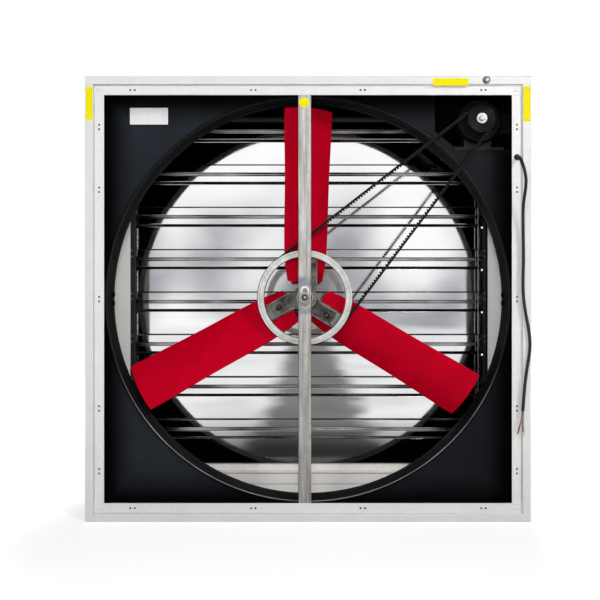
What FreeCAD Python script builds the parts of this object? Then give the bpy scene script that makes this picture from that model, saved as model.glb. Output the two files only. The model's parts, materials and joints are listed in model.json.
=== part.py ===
import FreeCAD, Part
import math
import os
import re

import Sketcher

# Belt-driven square exhaust fan, in millimetres.
# +X is right and +Z is up as seen from the intake side, which faces -Y.
# The origin is at the middle of the casing's base.

SIZES = {
    # how far a cut runs past the faces it goes through
    "cut_past": 1,
    # casing panels
    "casing_side": 1380,
    "casing_depth": 400,
    "casing_gauge": 1.5,
    "front_band": 25,
    "front_lip": 25,
    "rear_band": 25,
    # inner front strips, lapped at the corners
    "strip_width": 31,
    "strip_recess": 10,
    "strip_gauge": 1.5,
    "strip_leg": 15,
    "guard_hole_radius": 2.1,
    "guard_hole_gap": 14,
    "guard_hole_inset": 145,
    "guard_hole_inner": 170,
    "side_hole_inset": 155,
    "side_hole_inner": 340,
    "rivet_radius": 2.4,
    "rivet_head_radius": 5.5,
    "rivet_head_height": 2,
    "rivet_spread": 9,
    "rivet_tail_radius": 3.4,
    "rivet_tail": 2,
    # venturi panel and its motor window
    "panel_recess": 90,
    "panel_gauge": 1.5,
    "panel_fold": 20,
    "window_left_of_motor": 144,
    "window_right_of_motor": 109,
    "window_below_motor": 104,
    "window_above_motor": 79,
    "window_cut_across": 83,
    "window_cut_up": 70,
    # venturi ring
    "ring_border": 48,
    "ring_wall": 2.5,
    "ring_depth": 95,
    "ring_bead": 5,
    "ring_flange": 20,
    "ring_fit": 0.3,
    "splice_height": 56,
    "splice_width": 40,
    "splice_gauge": 3,
    "splice_edge": 6,
    "splice_bolt_rise": 14,
    "splice_bolt_radius": 4,
    "splice_head_radius": 8,
    "splice_head_height": 7,
    # rear shutter frame
    "head_cover": 56,
    "sill_cover": 83,
    "jamb_cover": 62,
    "jamb_depth": 82,
    "stop_height": 22,
    "stop_foot": 20,
    # louvres
    "louvre_head_gap": 10,
    "louvre_sill_gap": 5.5,
    "louvre_lap": 21.5,
    "louvre_inset": 40,
    "louvre_gauge": 1,
    "louvre_head": 25,
    "louvre_rib": 12,
    "louvre_rib_depth": 6,
    "louvre_waist": 20,
    "louvre_step_run": 9,
    "louvre_step": 8,
    "louvre_end_gap": 4,
    "louvre_end_notch": 8,
    "lip_gap": 0.5,
    # louvre pivots and link
    "pivot_drop": 10,
    "pivot_block": 20,
    "pivot_block_thick": 8,
    "pivot_block_wide": 16,
    "pivot_radius": 4,
    "pivot_past_jamb": 4,
    "running_gap": 0.06,
    "crank_reach": 19,
    "crank_angle": 40,
    "crank_wide": 9,
    "crank_thick": 6,
    "crank_pin_radius": 2.5,
    "crank_pin_end": 2,
    "link_wide": 8,
    "link_thick": 3,
    "link_side_gap": 1,
    "link_end": 6,
    # fan axis, from the middle of the casing
    "fan_across": -10,
    "fan_rise": 5,
    "fan_turn": 1.2,
    # upright bar and its feet
    "bar_side": 40,
    "bar_wall": 2,
    "bar_slot_width": 27,
    "bar_slot_height": 66,
    "bar_slot_rise": 6,
    "stub_depth": 22,
    "foot_half": 50,
    "foot_depth": 30,
    "foot_thick": 4,
    "foot_bolt_reach": 38,
    # axle and bearings
    "axle_radius": 12.5,
    "axle_thread_radius": 8.5,
    "axle_collar_radius": 23,
    "axle_collar": 6,
    "axle_shoulder_radius": 15.5,
    "axle_shoulder": 3.5,
    "axle_thread_past_nut": 4,
    "axle_nut_radius": 14,
    "axle_nut_height": 14,
    "front_nut_height": 8,
    "axle_washer_radius": 17,
    "axle_washer": 3,
    "bearing_radius": 26,
    "bearing_width": 15,
    "race_wall": 4,
    "ball_radius": 4,
    "ball_gap": 0.06,
    "seat_gap": 0.02,
    # fan pulley casting
    "belt_recess": 71,
    "rim_radius": 150,
    "rim_depth": 21,
    "rim_width": 22,
    "hub_radius": 38,
    "hub_length": 68,
    "hub_bore_shoulder": 3,
    "arm_width": 57,
    "arm_thick": 7,
    "arm_start": 30,
    "arm_bite": 2,
    "lug_half": 25,
    "lug_radial": 19,
    "lug_sink": 3,
    # blades
    "blade_recess": 122,
    "blade_root": 52,
    "blade_twist_start": 140,
    "tip_gap": 29,
    "tip_trim": 3,
    "root_pitch": 28,
    "tip_pitch": 18,
    "root_chord": 124,
    "shoulder_chord": 150,
    "tip_chord": 159,
    "root_camber": 10,
    "tip_camber": 13,
    "root_thick": 9,
    "tip_thick": 6,
    "nose_thick": 6,
    "nose_bulge": 2,
    "tail_thick": 3,
    "pad_half": 31,
    "pad_start": 57,
    "pad_proud": 1,
    "pad_drop": 3,
    "clamp_thick": 4,
    "clamp_half": 27,
    "clamp_end": 116,
    "blade_bolt_reach": 89,
    "blade_bolt_radius": 5,
    "blade_bolt_head_radius": 9.5,
    "blade_bolt_head": 6,
    "dome_nut": 8,
    "dome_radius": 6.5,
    "dome_height": 4,
    "bolt_hole_gap": 0.2,
    "bolt_hole_reach": 114,
    # belt and groove
    "belt_top": 12.6,
    "belt_thick": 8,
    "groove_top": 13.4,
    "groove_depth": 11,
    "groove_slope": 19,
    # motor
    "motor_clear": 150.44,
    "motor_angle": 46.122,
    "motor_pulley_radius": 44,
    "motor_shaft_radius": 12,
    "rotor_radius": 40,
    "rotor_end_gap": 25,
    "rotor_gap": 0.6,
    "pulley_standoff": 41,
    "motor_rear_gap": 6,
    "motor_body_radius": 66,
    "fin_height": 9,
    "fin_thick": 3,
    "fin_sink": 2,
    "motor_centre_height": 90,
    "foot_pad_half": 86,
    "foot_pad_thick": 10,
    "foot_pad_length": 30,
    "foot_web_half": 44,
    "foot_web_sink": 40,
    "foot_bolt_across": 70,
    "foot_end_gap": 10,
    "shield_radius": 71,
    "shield_length": 16,
    "shield_boss_radius": 30,
    "shield_boss": 4,
    "shield_taper": 5,
    "cowl_inlet_radius": 30,
    "cowl_length": 50,
    "cowl_wall": 2,
    "box_seat": 80,
    "box_seat_half_length": 40,
    "box_seat_half_height": 33,
    "box_depth": 32,
    "box_lid": 6,
    "box_lid_lap": 2,
    "pulley_washer_radius": 17,
    "pulley_washer": 4,
    "pulley_bolt_radius": 9,
    "pulley_bolt_head": 7,
    # motor shelf
    "shelf_gauge": 5,
    "shelf_left": 95,
    "shelf_setback": 3,
    "shelf_margin": 10,
    "shelf_drop": 110,
    "gusset_gauge": 4,
    "gusset_inset": 10,
    "wall_bolt_drop": 60,
    "wall_bolt_inset": 20,
    # bolts
    "bolt_radius": 4,
    "bolt_head_radius": 7.5,
    "bolt_head": 5.5,
    "nut_height": 6.5,
    "band_bolt_inset": 138,
    "band_bolt_radius": 6,
    "band_bolt_height": 6,
    "band_washer_radius": 12,
    "band_washer": 2,
    # grommet and cord
    "grommet_drop": 249,
    "grommet_bore": 5,
    "grommet_neck": 7.8,
    "grommet_lip": 9.5,
    "grommet_nose": 6,
    "grommet_tail": 3,
    "grommet_hole_gap": 0.2,
    "cord_radius": 4.75,
    "core_radius": 1.3,
}

# Each bend takes this share of the shorter run beside it.
BEND_SHARE = 0.45
LOUVRE_COUNT = 8
BLADE_COUNT = 3
FIN_COUNT = 28
BALL_COUNT = 9

# Places worked out from the sizes above, in words that any expression may use.
PLACES = {
    "half": "casing_side / 2",
    "front": "-casing_depth / 2",
    "rear": "casing_depth / 2",
    "wall": "half - casing_gauge",
    "roof": "casing_side - casing_gauge",
    "axis": "casing_side / 2",
    "band_edge": "half - front_band",
    "strip_edge": "band_edge - strip_width",
    "strip_middle": "band_edge - strip_width / 2",
    "strip_face": "front + strip_recess",
    "strip_back": "strip_face + strip_gauge",
    "panel_face": "front + panel_recess",
    "panel_back": "panel_face + panel_gauge",
    "guard_hole_outer": "half - guard_hole_inset",
    "side_hole_outer": "half - side_hole_inset",
    "band_bolt_across": "half - band_bolt_inset",
    "grommet_height": "casing_side - grommet_drop",
    "ring_radius": "half - ring_border",
    "ring_outer": "ring_radius + ring_wall",
    "ring_front": "panel_face - ring_fit - 2 * ring_bead",
    "ring_rear": "ring_front + ring_depth",
    "splice_bolt_y": "ring_rear - splice_edge - splice_width / 2",
    "frame_back": "rear - casing_gauge",
    "frame_flange": "frame_back - casing_gauge",
    "jamb_front": "rear - jamb_depth",
    "head_rise": "half - head_cover",
    "sill_drop": "half - sill_cover",
    "jamb_half": "half - jamb_cover",
    "louvre_rise": "head_rise - louvre_head_gap",
    "louvre_room": "louvre_rise + sill_drop - louvre_sill_gap",
    "louvre_pitch": f"(louvre_room - louvre_lap) / {LOUVRE_COUNT}",
    "louvre_length": "louvre_pitch + louvre_lap",
    "louvre_y": "rear - louvre_inset",
    "louvre_half": "jamb_half - louvre_end_gap",
    "louvre_fold": "louvre_head + louvre_rib + louvre_waist",
    "pivot_y": "louvre_y - louvre_gauge / 2 - pivot_block_thick / 2",
    "crank_right": "louvre_half - pivot_block_wide",
    "crank_left": "crank_right - crank_thick",
    "link_right": "crank_left - link_side_gap",
    "link_left": "link_right - link_thick",
    "crank_y": "pivot_y - crank_reach * cos(crank_angle)",
    "crank_up": "crank_reach * sin(crank_angle)",
    "fan_height": "axis + fan_rise",
    "bar_front": "strip_back",
    "bar_rear": "bar_front + bar_side",
    "bar_low": "axis - band_edge + strip_gauge",
    "bar_high": "axis + band_edge - strip_gauge",
    "hub_front": "bar_rear + axle_collar + axle_shoulder",
    "hub_rear": "hub_front + hub_length",
    "bearing_bore": "axle_radius + seat_gap",
    "ball_circle": "(axle_radius + bearing_radius) / 2",
    "belt_plane": "front + belt_recess",
    "blade_plane": "front + blade_recess",
    "blade_tip": "ring_radius - tip_gap",
    "arm_end": "rim_radius - rim_depth + arm_bite",
    "arm_back": "root_camber + root_thick / 2 + pad_proud",
    "arm_front": "arm_back + arm_thick",
    "arm_middle": "arm_back + arm_thick / 2",
    "clamp_front": "root_camber - root_thick / 2 - pad_drop",
    "clamp_back": "clamp_front - clamp_thick",
    "groove_bottom": "groove_top - 2 * groove_depth * tan(groove_slope)",
    "motor_across": "(ring_outer + motor_clear) * cos(motor_angle)",
    "motor_rise": "(ring_outer + motor_clear) * sin(motor_angle)",
    "motor_height": "axis + motor_rise",
    "motor_front": "belt_plane + pulley_standoff",
    "motor_rear": "jamb_front - motor_rear_gap - cowl_length",
    "motor_length": "motor_rear - motor_front",
    "rotor_length": "motor_length - 2 * rotor_end_gap",
    "foot_bolt_along": "(motor_length - foot_pad_length) / 2 - foot_end_gap",
    "window_left": "motor_across - window_left_of_motor",
    "window_right": "motor_across + window_right_of_motor",
    "window_low": "motor_rise - window_below_motor",
    "window_high": "motor_rise + window_above_motor",
    "shelf_front": "motor_front + shelf_setback",
    "shelf_length": "motor_length + shelf_margin",
    "wall_bolt_spread": "shelf_length / 2 - wall_bolt_inset",
    "pulley_front": "belt_plane - rim_width / 2",
    "shelf_top": "motor_height - motor_centre_height",
    "shelf_low": "shelf_top - shelf_gauge",
    "shelf_back": "shelf_front + shelf_length",
    "foot_middle": "(motor_front + motor_rear) / 2",
}

# The hanging cord's route from the grommet's middle: out of it, down past the right front band, to its bare end.
CORD_ROUTE = [
    (0, 4.5, 0),
    (0, -18.5, 0),
    (-1.5, -42.5, -9.5),
    (0, -60.5, -27.5),
    (5, -70, -51.5),
    (9.3, -70.5, -77.5),
    (10.2, -63, -104),
    (9.2, -50, -131),
    (9.3, -37.5, -158),
    (11.2, -27.5, -188),
    (13.2, -21.5, -221),
    (14.5, -19, -258),
    (15.5, -18.7, -320),
    (13.9, -18.9, -364),
    (13.1, -19.3, -408),
    (16.5, -19.7, -453),
    (23.7, -20.1, -497),
    (31.5, -20.1, -536),
    (35.9, -19.9, -575),
    (33.5, -19.5, -613),
    (26.1, -19.1, -653),
    (20.5, -18.7, -695),
    (16.5, -18.5, -740),
    (13, -19, -786),
]

# Each bare core's route below the end of the jacket, from the grommet's middle.
CORE_ROUTES = [
    [(11.4, -20.5, -786.6), (10.1, -21.1, -803), (6, -20.8, -820), (0, -19.7, -838), (-4.5, -19.1, -858)],
    [(11.4, -17.5, -786.7), (10.4, -17.2, -804), (7.1, -17.1, -822), (2.9, -17.4, -839), (0.1, -17.9, -855)],
    [(14.4, -17.5, -786.5), (14.7, -17, -803), (16.1, -17.1, -822), (16.1, -17.9, -841), (17.9, -18.5, -861)],
    [(14.4, -20.5, -786.4), (13.7, -21.3, -802), (11.9, -21.7, -819), (12.1, -21.4, -835), (13.5, -20.9, -850)],
]

doc = FreeCAD.newDocument("exhaust_fan")
NODES = []


# Sheet and expressions

def fill_sheet():
    """Put every driving size in a cell whose alias is the size's name."""
    sheet = doc.addObject("Spreadsheet::Sheet", "Dims")
    for row, (name, value) in enumerate(SIZES.items(), start=1):
        sheet.set(f"A{row}", name)
        sheet.set(f"B{row}", str(value))
        sheet.setAlias(f"B{row}", name)
    doc.recompute()
    return sheet


DIMS = fill_sheet()


def cells(expression):
    """Write out the places in an expression and point its sizes at the sheet."""
    def swap(match):
        word = match.group(0)
        if word in SIZES:
            return "Dims." + word
        if word in PLACES:
            return "(" + cells(PLACES[word]) + ")"
        return word
    return re.sub(r"[a-z_]+", swap, expression)


def value(expression):
    """The number that an expression stands for."""
    return float(DIMS.evalExpression(cells(expression)))


def bind(thing, name, expression):
    """Tie a property to the sheet."""
    thing.setExpression(name, cells(expression))


def node(thing, label):
    """Keep an object as one of the fan's sub-parts, named by its label."""
    thing.Label = label
    NODES.append(thing)
    return thing


# Sketches and features

def sketch_loops(sketch, loops):
    """Draw closed loops: a list of corners is a polygon, and a triple is a circle."""
    for loop in loops:
        if isinstance(loop, tuple):
            add_circle(sketch, *loop)
        else:
            add_polygon(sketch, loop)


def pin_point(sketch, geometry, point, across, up):
    """Fix one point of a sketch by its distances from the sketch's origin."""
    for kind, expression in (("DistanceX", across), ("DistanceY", up)):
        rule = Sketcher.Constraint(kind, -1, 1, geometry, point, value(expression))
        bind(sketch, f"Constraints[{sketch.addConstraint(rule)}]", expression)


def add_circle(sketch, across, up, radius):
    centre = FreeCAD.Vector(value(across), value(up), 0)
    circle = sketch.addGeometry(Part.Circle(centre, FreeCAD.Vector(0, 0, 1), value(radius)))
    rule = sketch.addConstraint(Sketcher.Constraint("Radius", circle, value(radius)))
    bind(sketch, f"Constraints[{rule}]", radius)
    pin_point(sketch, circle, 3, across, up)


def add_polygon(sketch, corners):
    spots = [FreeCAD.Vector(value(across), value(up), 0) for across, up in corners]
    count = len(spots)
    lines = [sketch.addGeometry(Part.LineSegment(spots[i], spots[(i + 1) % count])) for i in range(count)]
    for i in range(count):
        sketch.addConstraint(Sketcher.Constraint("Coincident", lines[i], 2, lines[(i + 1) % count], 1))
    for line, (across, up) in zip(lines, corners):
        pin_point(sketch, line, 1, across, up)


def rectangle(left, right, low, high):
    return [(left, low), (right, low), (right, high), (left, high)]


def new_body(name):
    return doc.addObject("PartDesign::Body", name)


def origin_part(body, role):
    return next(part for part in body.Origin.OriginFeatures if part.Role == role)


def new_sketch(body, plane, offset, turn_axis=None, turn=None):
    """A sketch on one of the body's origin planes, moved and turned in the plane's own axes."""
    sketch = body.newObject("Sketcher::SketchObject", body.Name + "_sketch")
    sketch.AttachmentSupport = [(origin_part(body, plane + "_Plane"), "")]
    sketch.MapMode = "FlatFace"
    if turn:
        sketch.AttachmentOffset = FreeCAD.Placement(
            FreeCAD.Vector(), FreeCAD.Rotation(FreeCAD.Vector(*turn_axis), value(turn)))
        bind(sketch, "AttachmentOffset.Rotation.Angle", turn)
    for letter, expression in zip("xyz", offset):
        bind(sketch, "AttachmentOffset.Base." + letter, expression)
    return sketch


def level(plane, low, high):
    """Where a sketch lies so that a pad runs from low to high: the XZ plane faces -Y."""
    return f"-({high})" if plane == "XZ" else low


def pad(body, plane, loops, low, high):
    """Pad closed loops from low to high along the plane's axis."""
    sketch = new_sketch(body, plane, ("0", "0", level(plane, low, high)))
    return extrude(body, "PartDesign::Pad", sketch, loops, f"({high}) - ({low})")


def pocket(body, plane, loops, low, high):
    """Cut closed loops out from low to high along the plane's axis, and a little past both."""
    middle = f"(({low}) + ({high})) / 2"
    sketch = new_sketch(body, plane, ("0", "0", level(plane, middle, middle)))
    return cut_both_ways(body, sketch, loops, f"({high}) - ({low}) + 2 * cut_past")


def extrude(body, kind, sketch, loops, length):
    sketch_loops(sketch, loops)
    feature = body.newObject(kind, body.Name + "_feature")
    feature.Profile = sketch
    bind(feature, "Length", length)
    return feature


def cut_both_ways(body, sketch, loops, length):
    """A pocket centred on its sketch, compared with the body before it so that it does cut."""
    doc.recompute()
    before = body.Shape.Volume
    feature = extrude(body, "PartDesign::Pocket", sketch, loops, length)
    feature.Midplane = True
    doc.recompute()
    if body.Shape.Volume >= before:
        raise RuntimeError(body.Name + ": a pocket cuts nothing")
    return feature


def revolve(body, loops, angle=360, other_way=False):
    """Turn loops of (radius, y) about the Y axis."""
    sketch = new_sketch(body, "XY", ("0", "0", "0"))
    sketch_loops(sketch, loops)
    feature = body.newObject("PartDesign::Revolution", body.Name + "_turned")
    feature.Profile = sketch
    feature.ReferenceAxis = (sketch, ["V_Axis"])
    feature.Angle = angle
    feature.Reversed = other_way
    return feature


def turned_groove(body, loops):
    """Cut loops of (radius, y) out of a body, turned about its Y axis."""
    sketch = new_sketch(body, "XY", ("0", "0", "0"))
    sketch_loops(sketch, loops)
    groove = body.newObject("PartDesign::Groove", body.Name + "_groove")
    groove.Profile = sketch
    groove.ReferenceAxis = (sketch, ["V_Axis"])
    groove.Angle = 360
    return groove


def repeat_about_axis(body, features, count):
    """Copy features round the body's Y axis."""
    doc.recompute()
    pattern = body.newObject("PartDesign::PolarPattern", body.Name + "_round")
    pattern.Originals = features
    pattern.Axis = (origin_part(body, "Y_Axis"), [""])
    pattern.Angle = 360
    pattern.Occurrences = count
    body.Tip = pattern
    return pattern


def place(thing, across="0", along="0", up="0"):
    for letter, expression in zip("xyz", (across, along, up)):
        bind(thing, "Placement.Base." + letter, expression)
    return thing


def turn_on_fan_axis(thing, angle):
    """Carry a piece from the fan's own origin to its axis, turned about it from where the fan rests."""
    turned = f"fan_turn + {angle}"
    thing.Placement = FreeCAD.Placement(
        FreeCAD.Vector(), FreeCAD.Rotation(FreeCAD.Vector(0, 1, 0), value(turned)))
    bind(thing, "Placement.Rotation.Angle", turned)
    return place_on_fan_axis(thing)


def place_on_fan_axis(thing):
    return place(thing, "fan_across", "0", "fan_height")


def group(name, things):
    """Separate solids that share one node."""
    bundle = doc.addObject("Part::Compound", name)
    bundle.Links = things
    return bundle


# Fasteners

TURN_TO = {
    "Z": FreeCAD.Rotation(),
    "X": FreeCAD.Rotation(FreeCAD.Vector(0, 1, 0), 90),
    "Y": FreeCAD.Rotation(FreeCAD.Vector(1, 0, 0), -90),
}


def round_bar(name, along, radius, low, high, first, second):
    """A cylinder from low to high along one axis, at two places on the other axes in X, Y, Z order."""
    bar = doc.addObject("Part::Cylinder", name)
    bind(bar, "Radius", radius)
    bind(bar, "Height", f"({high}) - ({low})")
    return stand_along(bar, along, low, first, second)


def hexagon(name, along, radius, low, high, first, second):
    """A hexagonal prism, placed as a round bar is."""
    prism = doc.addObject("Part::Prism", name)
    prism.Polygon = 6
    bind(prism, "Circumradius", radius)
    bind(prism, "Height", f"({high}) - ({low})")
    return stand_along(prism, along, low, first, second)


def stand_along(thing, along, low, first, second):
    spots = [first, second]
    spots.insert("XYZ".index(along), low)
    thing.Placement = FreeCAD.Placement(FreeCAD.Vector(), TURN_TO[along])
    return place(thing, *spots)


def fuse(name, things):
    whole = doc.addObject("Part::MultiFuse", name)
    whole.Shapes = things
    return whole


def drilled(name, base, bars):
    """Cut round bars out of a finished piece."""
    tools = bars[0] if len(bars) == 1 else group(name + "_drills", bars)
    result = doc.addObject("Part::Cut", name)
    result.Base = base
    result.Tool = tools
    return result


# Casing and front strips

def up_or_down(side, distance):
    """A height above the axis on the top side, or as far below it on the bottom side."""
    return f"axis + ({distance})" if side == "top" else f"axis - ({distance})"


def left_or_right(side, distance):
    return f"({distance})" if side == "right" else f"-({distance})"


def make_long_panel(side):
    """The top or bottom panel: a wall with a front band and a rear band, full width, and the front lip."""
    def spot(along, distance):
        return along, up_or_down(side, distance)
    body = new_body("casing_" + side)
    outline = [
        spot("front", "band_edge"),
        spot("front", "half"),
        spot("rear", "half"),
        spot("rear", "half - rear_band"),
        spot("frame_back", "half - rear_band"),
        spot("frame_back", "wall"),
        spot("front + casing_gauge", "wall"),
        spot("front + casing_gauge", "band_edge"),
    ]
    pad(body, "YZ", [outline], "-half", "half")
    lip = [
        spot("front + casing_gauge", "band_edge"),
        spot("front + front_lip", "band_edge"),
        spot("front + front_lip", "band_edge + casing_gauge"),
        spot("front + casing_gauge", "band_edge + casing_gauge"),
    ]
    pad(body, "YZ", [lip], "-wall", "wall")
    foot_holes = [
        (across, "bar_rear - stub_depth / 2", "bolt_radius + bolt_hole_gap")
        for across in ("fan_across - foot_bolt_reach", "fan_across + foot_bolt_reach")
    ]
    heights = sorted((up_or_down(side, "wall"), up_or_down(side, "half")), key=value)
    pocket(body, "XY", foot_holes, *heights)
    if side == "top":
        hole = ("band_bolt_across", "axis + half - front_band / 2", "bolt_radius + bolt_hole_gap")
        pocket(body, "XZ", [hole], "front", "front + casing_gauge")
    return node(body, "casing_" + side)


def make_side_panel(side):
    """The left or right panel: a wall between the long panels, with bands that butt against theirs."""
    def spot(distance, along):
        return left_or_right(side, distance), along
    body = new_body("casing_" + side)
    wall = [
        spot("wall", "front + casing_gauge"),
        spot("half", "front + casing_gauge"),
        spot("half", "frame_back"),
        spot("wall", "frame_back"),
    ]
    pad(body, "XY", [wall], "casing_gauge", "roof")
    band = [
        spot("half", "front"),
        spot("half", "front + casing_gauge"),
        spot("band_edge + casing_gauge", "front + casing_gauge"),
        spot("band_edge + casing_gauge", "front + front_lip"),
        spot("band_edge", "front + front_lip"),
        spot("band_edge", "front"),
    ]
    pad(body, "XY", [band], "front_band", "casing_side - front_band")
    rear_band = [
        spot("half", "frame_back"),
        spot("half", "rear"),
        spot("half - rear_band", "rear"),
        spot("half - rear_band", "frame_back"),
    ]
    pad(body, "XY", [rear_band], "rear_band", "casing_side - rear_band")
    if side == "right":
        holes = [(along, up, "bolt_radius + bolt_hole_gap") for along, up in wall_bolt_places()]
        pocket(body, "YZ", holes, "wall", "half")
    return node(body, "casing_" + side)


def guard_holes(centres):
    """Pairs of guard screw holes, each pair a set gap apart along its strip."""
    return [f"({centre}) {sign} guard_hole_gap / 2" for centre in centres for sign in "-+"]


def make_long_strip(side):
    """The top or bottom strip: its face is holed, and its leg lies on the casing's lip."""
    def spot(along, distance):
        return along, up_or_down(side, distance)
    body = new_body("front_strip_" + side)
    outline = [
        spot("strip_face", "strip_edge"),
        spot("strip_face", "band_edge"),
        spot("strip_face + strip_leg", "band_edge"),
        spot("strip_face + strip_leg", "band_edge - strip_gauge"),
        spot("strip_back", "band_edge - strip_gauge"),
        spot("strip_back", "strip_edge"),
    ]
    pad(body, "YZ", [outline], "-band_edge", "band_edge")
    height = up_or_down(side, "strip_middle")
    centres = ("-guard_hole_outer", "-guard_hole_inner", "guard_hole_inner", "guard_hole_outer")
    holes = [(across, height, "guard_hole_radius") for across in guard_holes(centres)]
    holes += [(across, height, "rivet_radius + bolt_hole_gap") for across in rivet_places()]
    pocket(body, "XZ", holes, "strip_face", "strip_back")
    return node(body, "front_strip_" + side)


def make_side_strip(side):
    """The left or right strip, whose ends lap behind the long strips."""
    def spot(distance, along):
        return left_or_right(side, distance), along
    body = new_body("front_strip_" + side)
    low = "strip_back"
    high = "strip_back + strip_gauge"
    face = rectangle(left_or_right(side, "strip_edge"), left_or_right(side, "band_edge"),
                     "axis - band_edge + strip_gauge", "axis + band_edge - strip_gauge")
    pad(body, "XZ", [face], low, high)
    leg = [
        spot("band_edge - strip_gauge", high),
        spot("band_edge", high),
        spot("band_edge", "strip_face + strip_leg"),
        spot("band_edge - strip_gauge", "strip_face + strip_leg"),
    ]
    pad(body, "XY", [leg], "axis - band_edge + strip_gauge", "axis + band_edge - strip_gauge")
    across = left_or_right(side, "strip_middle")
    centres = ("axis - side_hole_outer", "axis - side_hole_inner", "axis",
               "axis + side_hole_inner", "axis + side_hole_outer")
    holes = [(across, up, "guard_hole_radius") for up in guard_holes(centres)]
    holes += [
        (left_or_right(side, rivet), up_or_down(end, "strip_middle"), "rivet_radius + bolt_hole_gap")
        for rivet in rivet_reaches() for end in ("top", "bottom")
    ]
    if side == "right":
        holes.append((across, "grommet_height", "grommet_neck + grommet_hole_gap"))
    pocket(body, "XZ", holes, low, high)
    return node(body, "front_strip_" + side)


def rivet_reaches():
    return ["strip_middle - rivet_spread / 2", "strip_middle + rivet_spread / 2"]


def rivet_places():
    return [left_or_right(side, reach) for side in ("left", "right") for reach in rivet_reaches()]


def make_strip_rivets():
    """Round-headed rivets through both strips at each corner."""
    rivets = []
    for side in ("top", "bottom"):
        for across in rivet_places():
            height = up_or_down(side, "strip_middle")
            tail = "strip_back + strip_gauge"
            shank = round_bar("rivet_shank", "Y", "rivet_radius", "strip_face", tail, across, height)
            head = round_bar("rivet_head", "Y", "rivet_head_radius", "strip_face - rivet_head_height",
                             "strip_face", across, height)
            foot = round_bar("rivet_foot", "Y", "rivet_tail_radius", tail, f"{tail} + rivet_tail", across, height)
            rivets.append(fuse("rivet", [shank, head, foot]))
    return node(group("strip_rivet_group", rivets), "strip_rivets")


# Venturi panel and ring

def make_venturi_panel():
    """A black square plate with folded edges, a round hole for the ring and a window for the motor."""
    body = new_body("venturi_panel")
    square = rectangle("-wall", "wall", "casing_gauge", "roof")
    inside = rectangle("-wall + panel_gauge", "wall - panel_gauge",
                       "casing_gauge + panel_gauge", "roof - panel_gauge")
    hole = ("0", "axis", "ring_outer + ring_fit")
    window = [
        ("window_left + window_cut_across", "axis + window_low"),
        ("window_right", "axis + window_low"),
        ("window_right", "axis + window_high"),
        ("window_left", "axis + window_high"),
        ("window_left", "axis + window_low + window_cut_up"),
    ]
    pad(body, "XZ", [square, hole, window], "panel_face", "panel_back")
    pad(body, "XZ", [square, inside], "panel_back", "panel_back + panel_fold")
    return node(body, "venturi_panel")


def make_venturi_ring(half):
    """Half of the rolled ring: a beaded front lip, a plain throat and a flange behind the panel."""
    body = new_body("venturi_ring_" + half)
    bead_y = "ring_front + ring_bead"
    wall = [
        ("ring_radius", bead_y),
        ("ring_outer", bead_y),
        ("ring_outer", "panel_back"),
        ("ring_outer + ring_flange", "panel_back"),
        ("ring_outer + ring_flange", "panel_back + ring_wall"),
        ("ring_outer", "panel_back + ring_wall"),
        ("ring_outer", "ring_rear"),
        ("ring_radius", "ring_rear"),
    ]
    revolve(body, [wall], 180, half == "upper")
    revolve(body, [("ring_radius + ring_bead", bead_y, "ring_bead")], 180, half == "upper")
    up = "splice_bolt_rise" if half == "upper" else "-splice_bolt_rise"
    hole = ("splice_bolt_y", up, "splice_bolt_radius + bolt_hole_gap")
    pocket(body, "YZ", [hole], "-ring_outer", "ring_outer")
    return node(place(body, up="axis"), "venturi_ring_" + half)


def make_ring_splices():
    """Outer plates that join the ring's halves, with round-headed bolts through them."""
    pieces = []
    for side in ("left", "right"):
        inner = left_or_right(side, "ring_outer + ring_fit")
        outer = left_or_right(side, "ring_outer + ring_fit + splice_gauge")
        plate = new_body("ring_splice_" + side)
        low, high = sorted((inner, outer), key=value)
        face = rectangle("ring_rear - splice_edge - splice_width", "ring_rear - splice_edge",
                         "axis - splice_height / 2", "axis + splice_height / 2")
        holes = [("splice_bolt_y", f"axis {sign} splice_bolt_rise", "splice_bolt_radius + bolt_hole_gap")
                 for sign in "-+"]
        pad(plate, "YZ", [face] + holes, low, high)
        pieces.append(plate)
        for sign in "-+":
            pieces.append(make_splice_bolt(side, f"axis {sign} splice_bolt_rise", outer))
    return node(group("ring_splice_group", pieces), "ring_splices")


def make_splice_bolt(side, height, plate_face):
    inside = left_or_right(side, "ring_radius - 2 * ring_fit")
    head_end = left_or_right(side, "ring_radius - 2 * ring_fit - splice_head_height")
    nut_end = f"{plate_face} + nut_height" if side == "right" else f"{plate_face} - nut_height"
    spans = {
        "shank": ("splice_bolt_radius", inside, nut_end),
        "head": ("splice_head_radius", inside, head_end),
        "nut": ("splice_head_radius", plate_face, nut_end),
    }
    pieces = []
    for name, (radius, start, end) in spans.items():
        low, high = sorted((start, end), key=value)
        shape = hexagon if name == "nut" else round_bar
        pieces.append(shape("splice_" + name, "X", radius, low, high, "splice_bolt_y", height))
    return fuse("splice_bolt", pieces)


# Rear shutter frame

def make_frame_rail(side):
    """The head or sill of the shutter frame: a flange on the casing's rear band and a forward leg."""
    edge = "head_rise" if side == "top" else "sill_drop"

    def spot(along, distance):
        return along, up_or_down(side, distance)
    body = new_body("rear_frame_" + side)
    outline = [
        spot("jamb_front", edge),
        spot("frame_back", edge),
        spot("frame_back", "wall"),
        spot("frame_flange", "wall"),
        spot("frame_flange", f"{edge} + casing_gauge"),
        spot("jamb_front", f"{edge} + casing_gauge"),
    ]
    pad(body, "YZ", [outline], "-wall", "wall")
    return node(body, "rear_frame_" + side)


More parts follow.
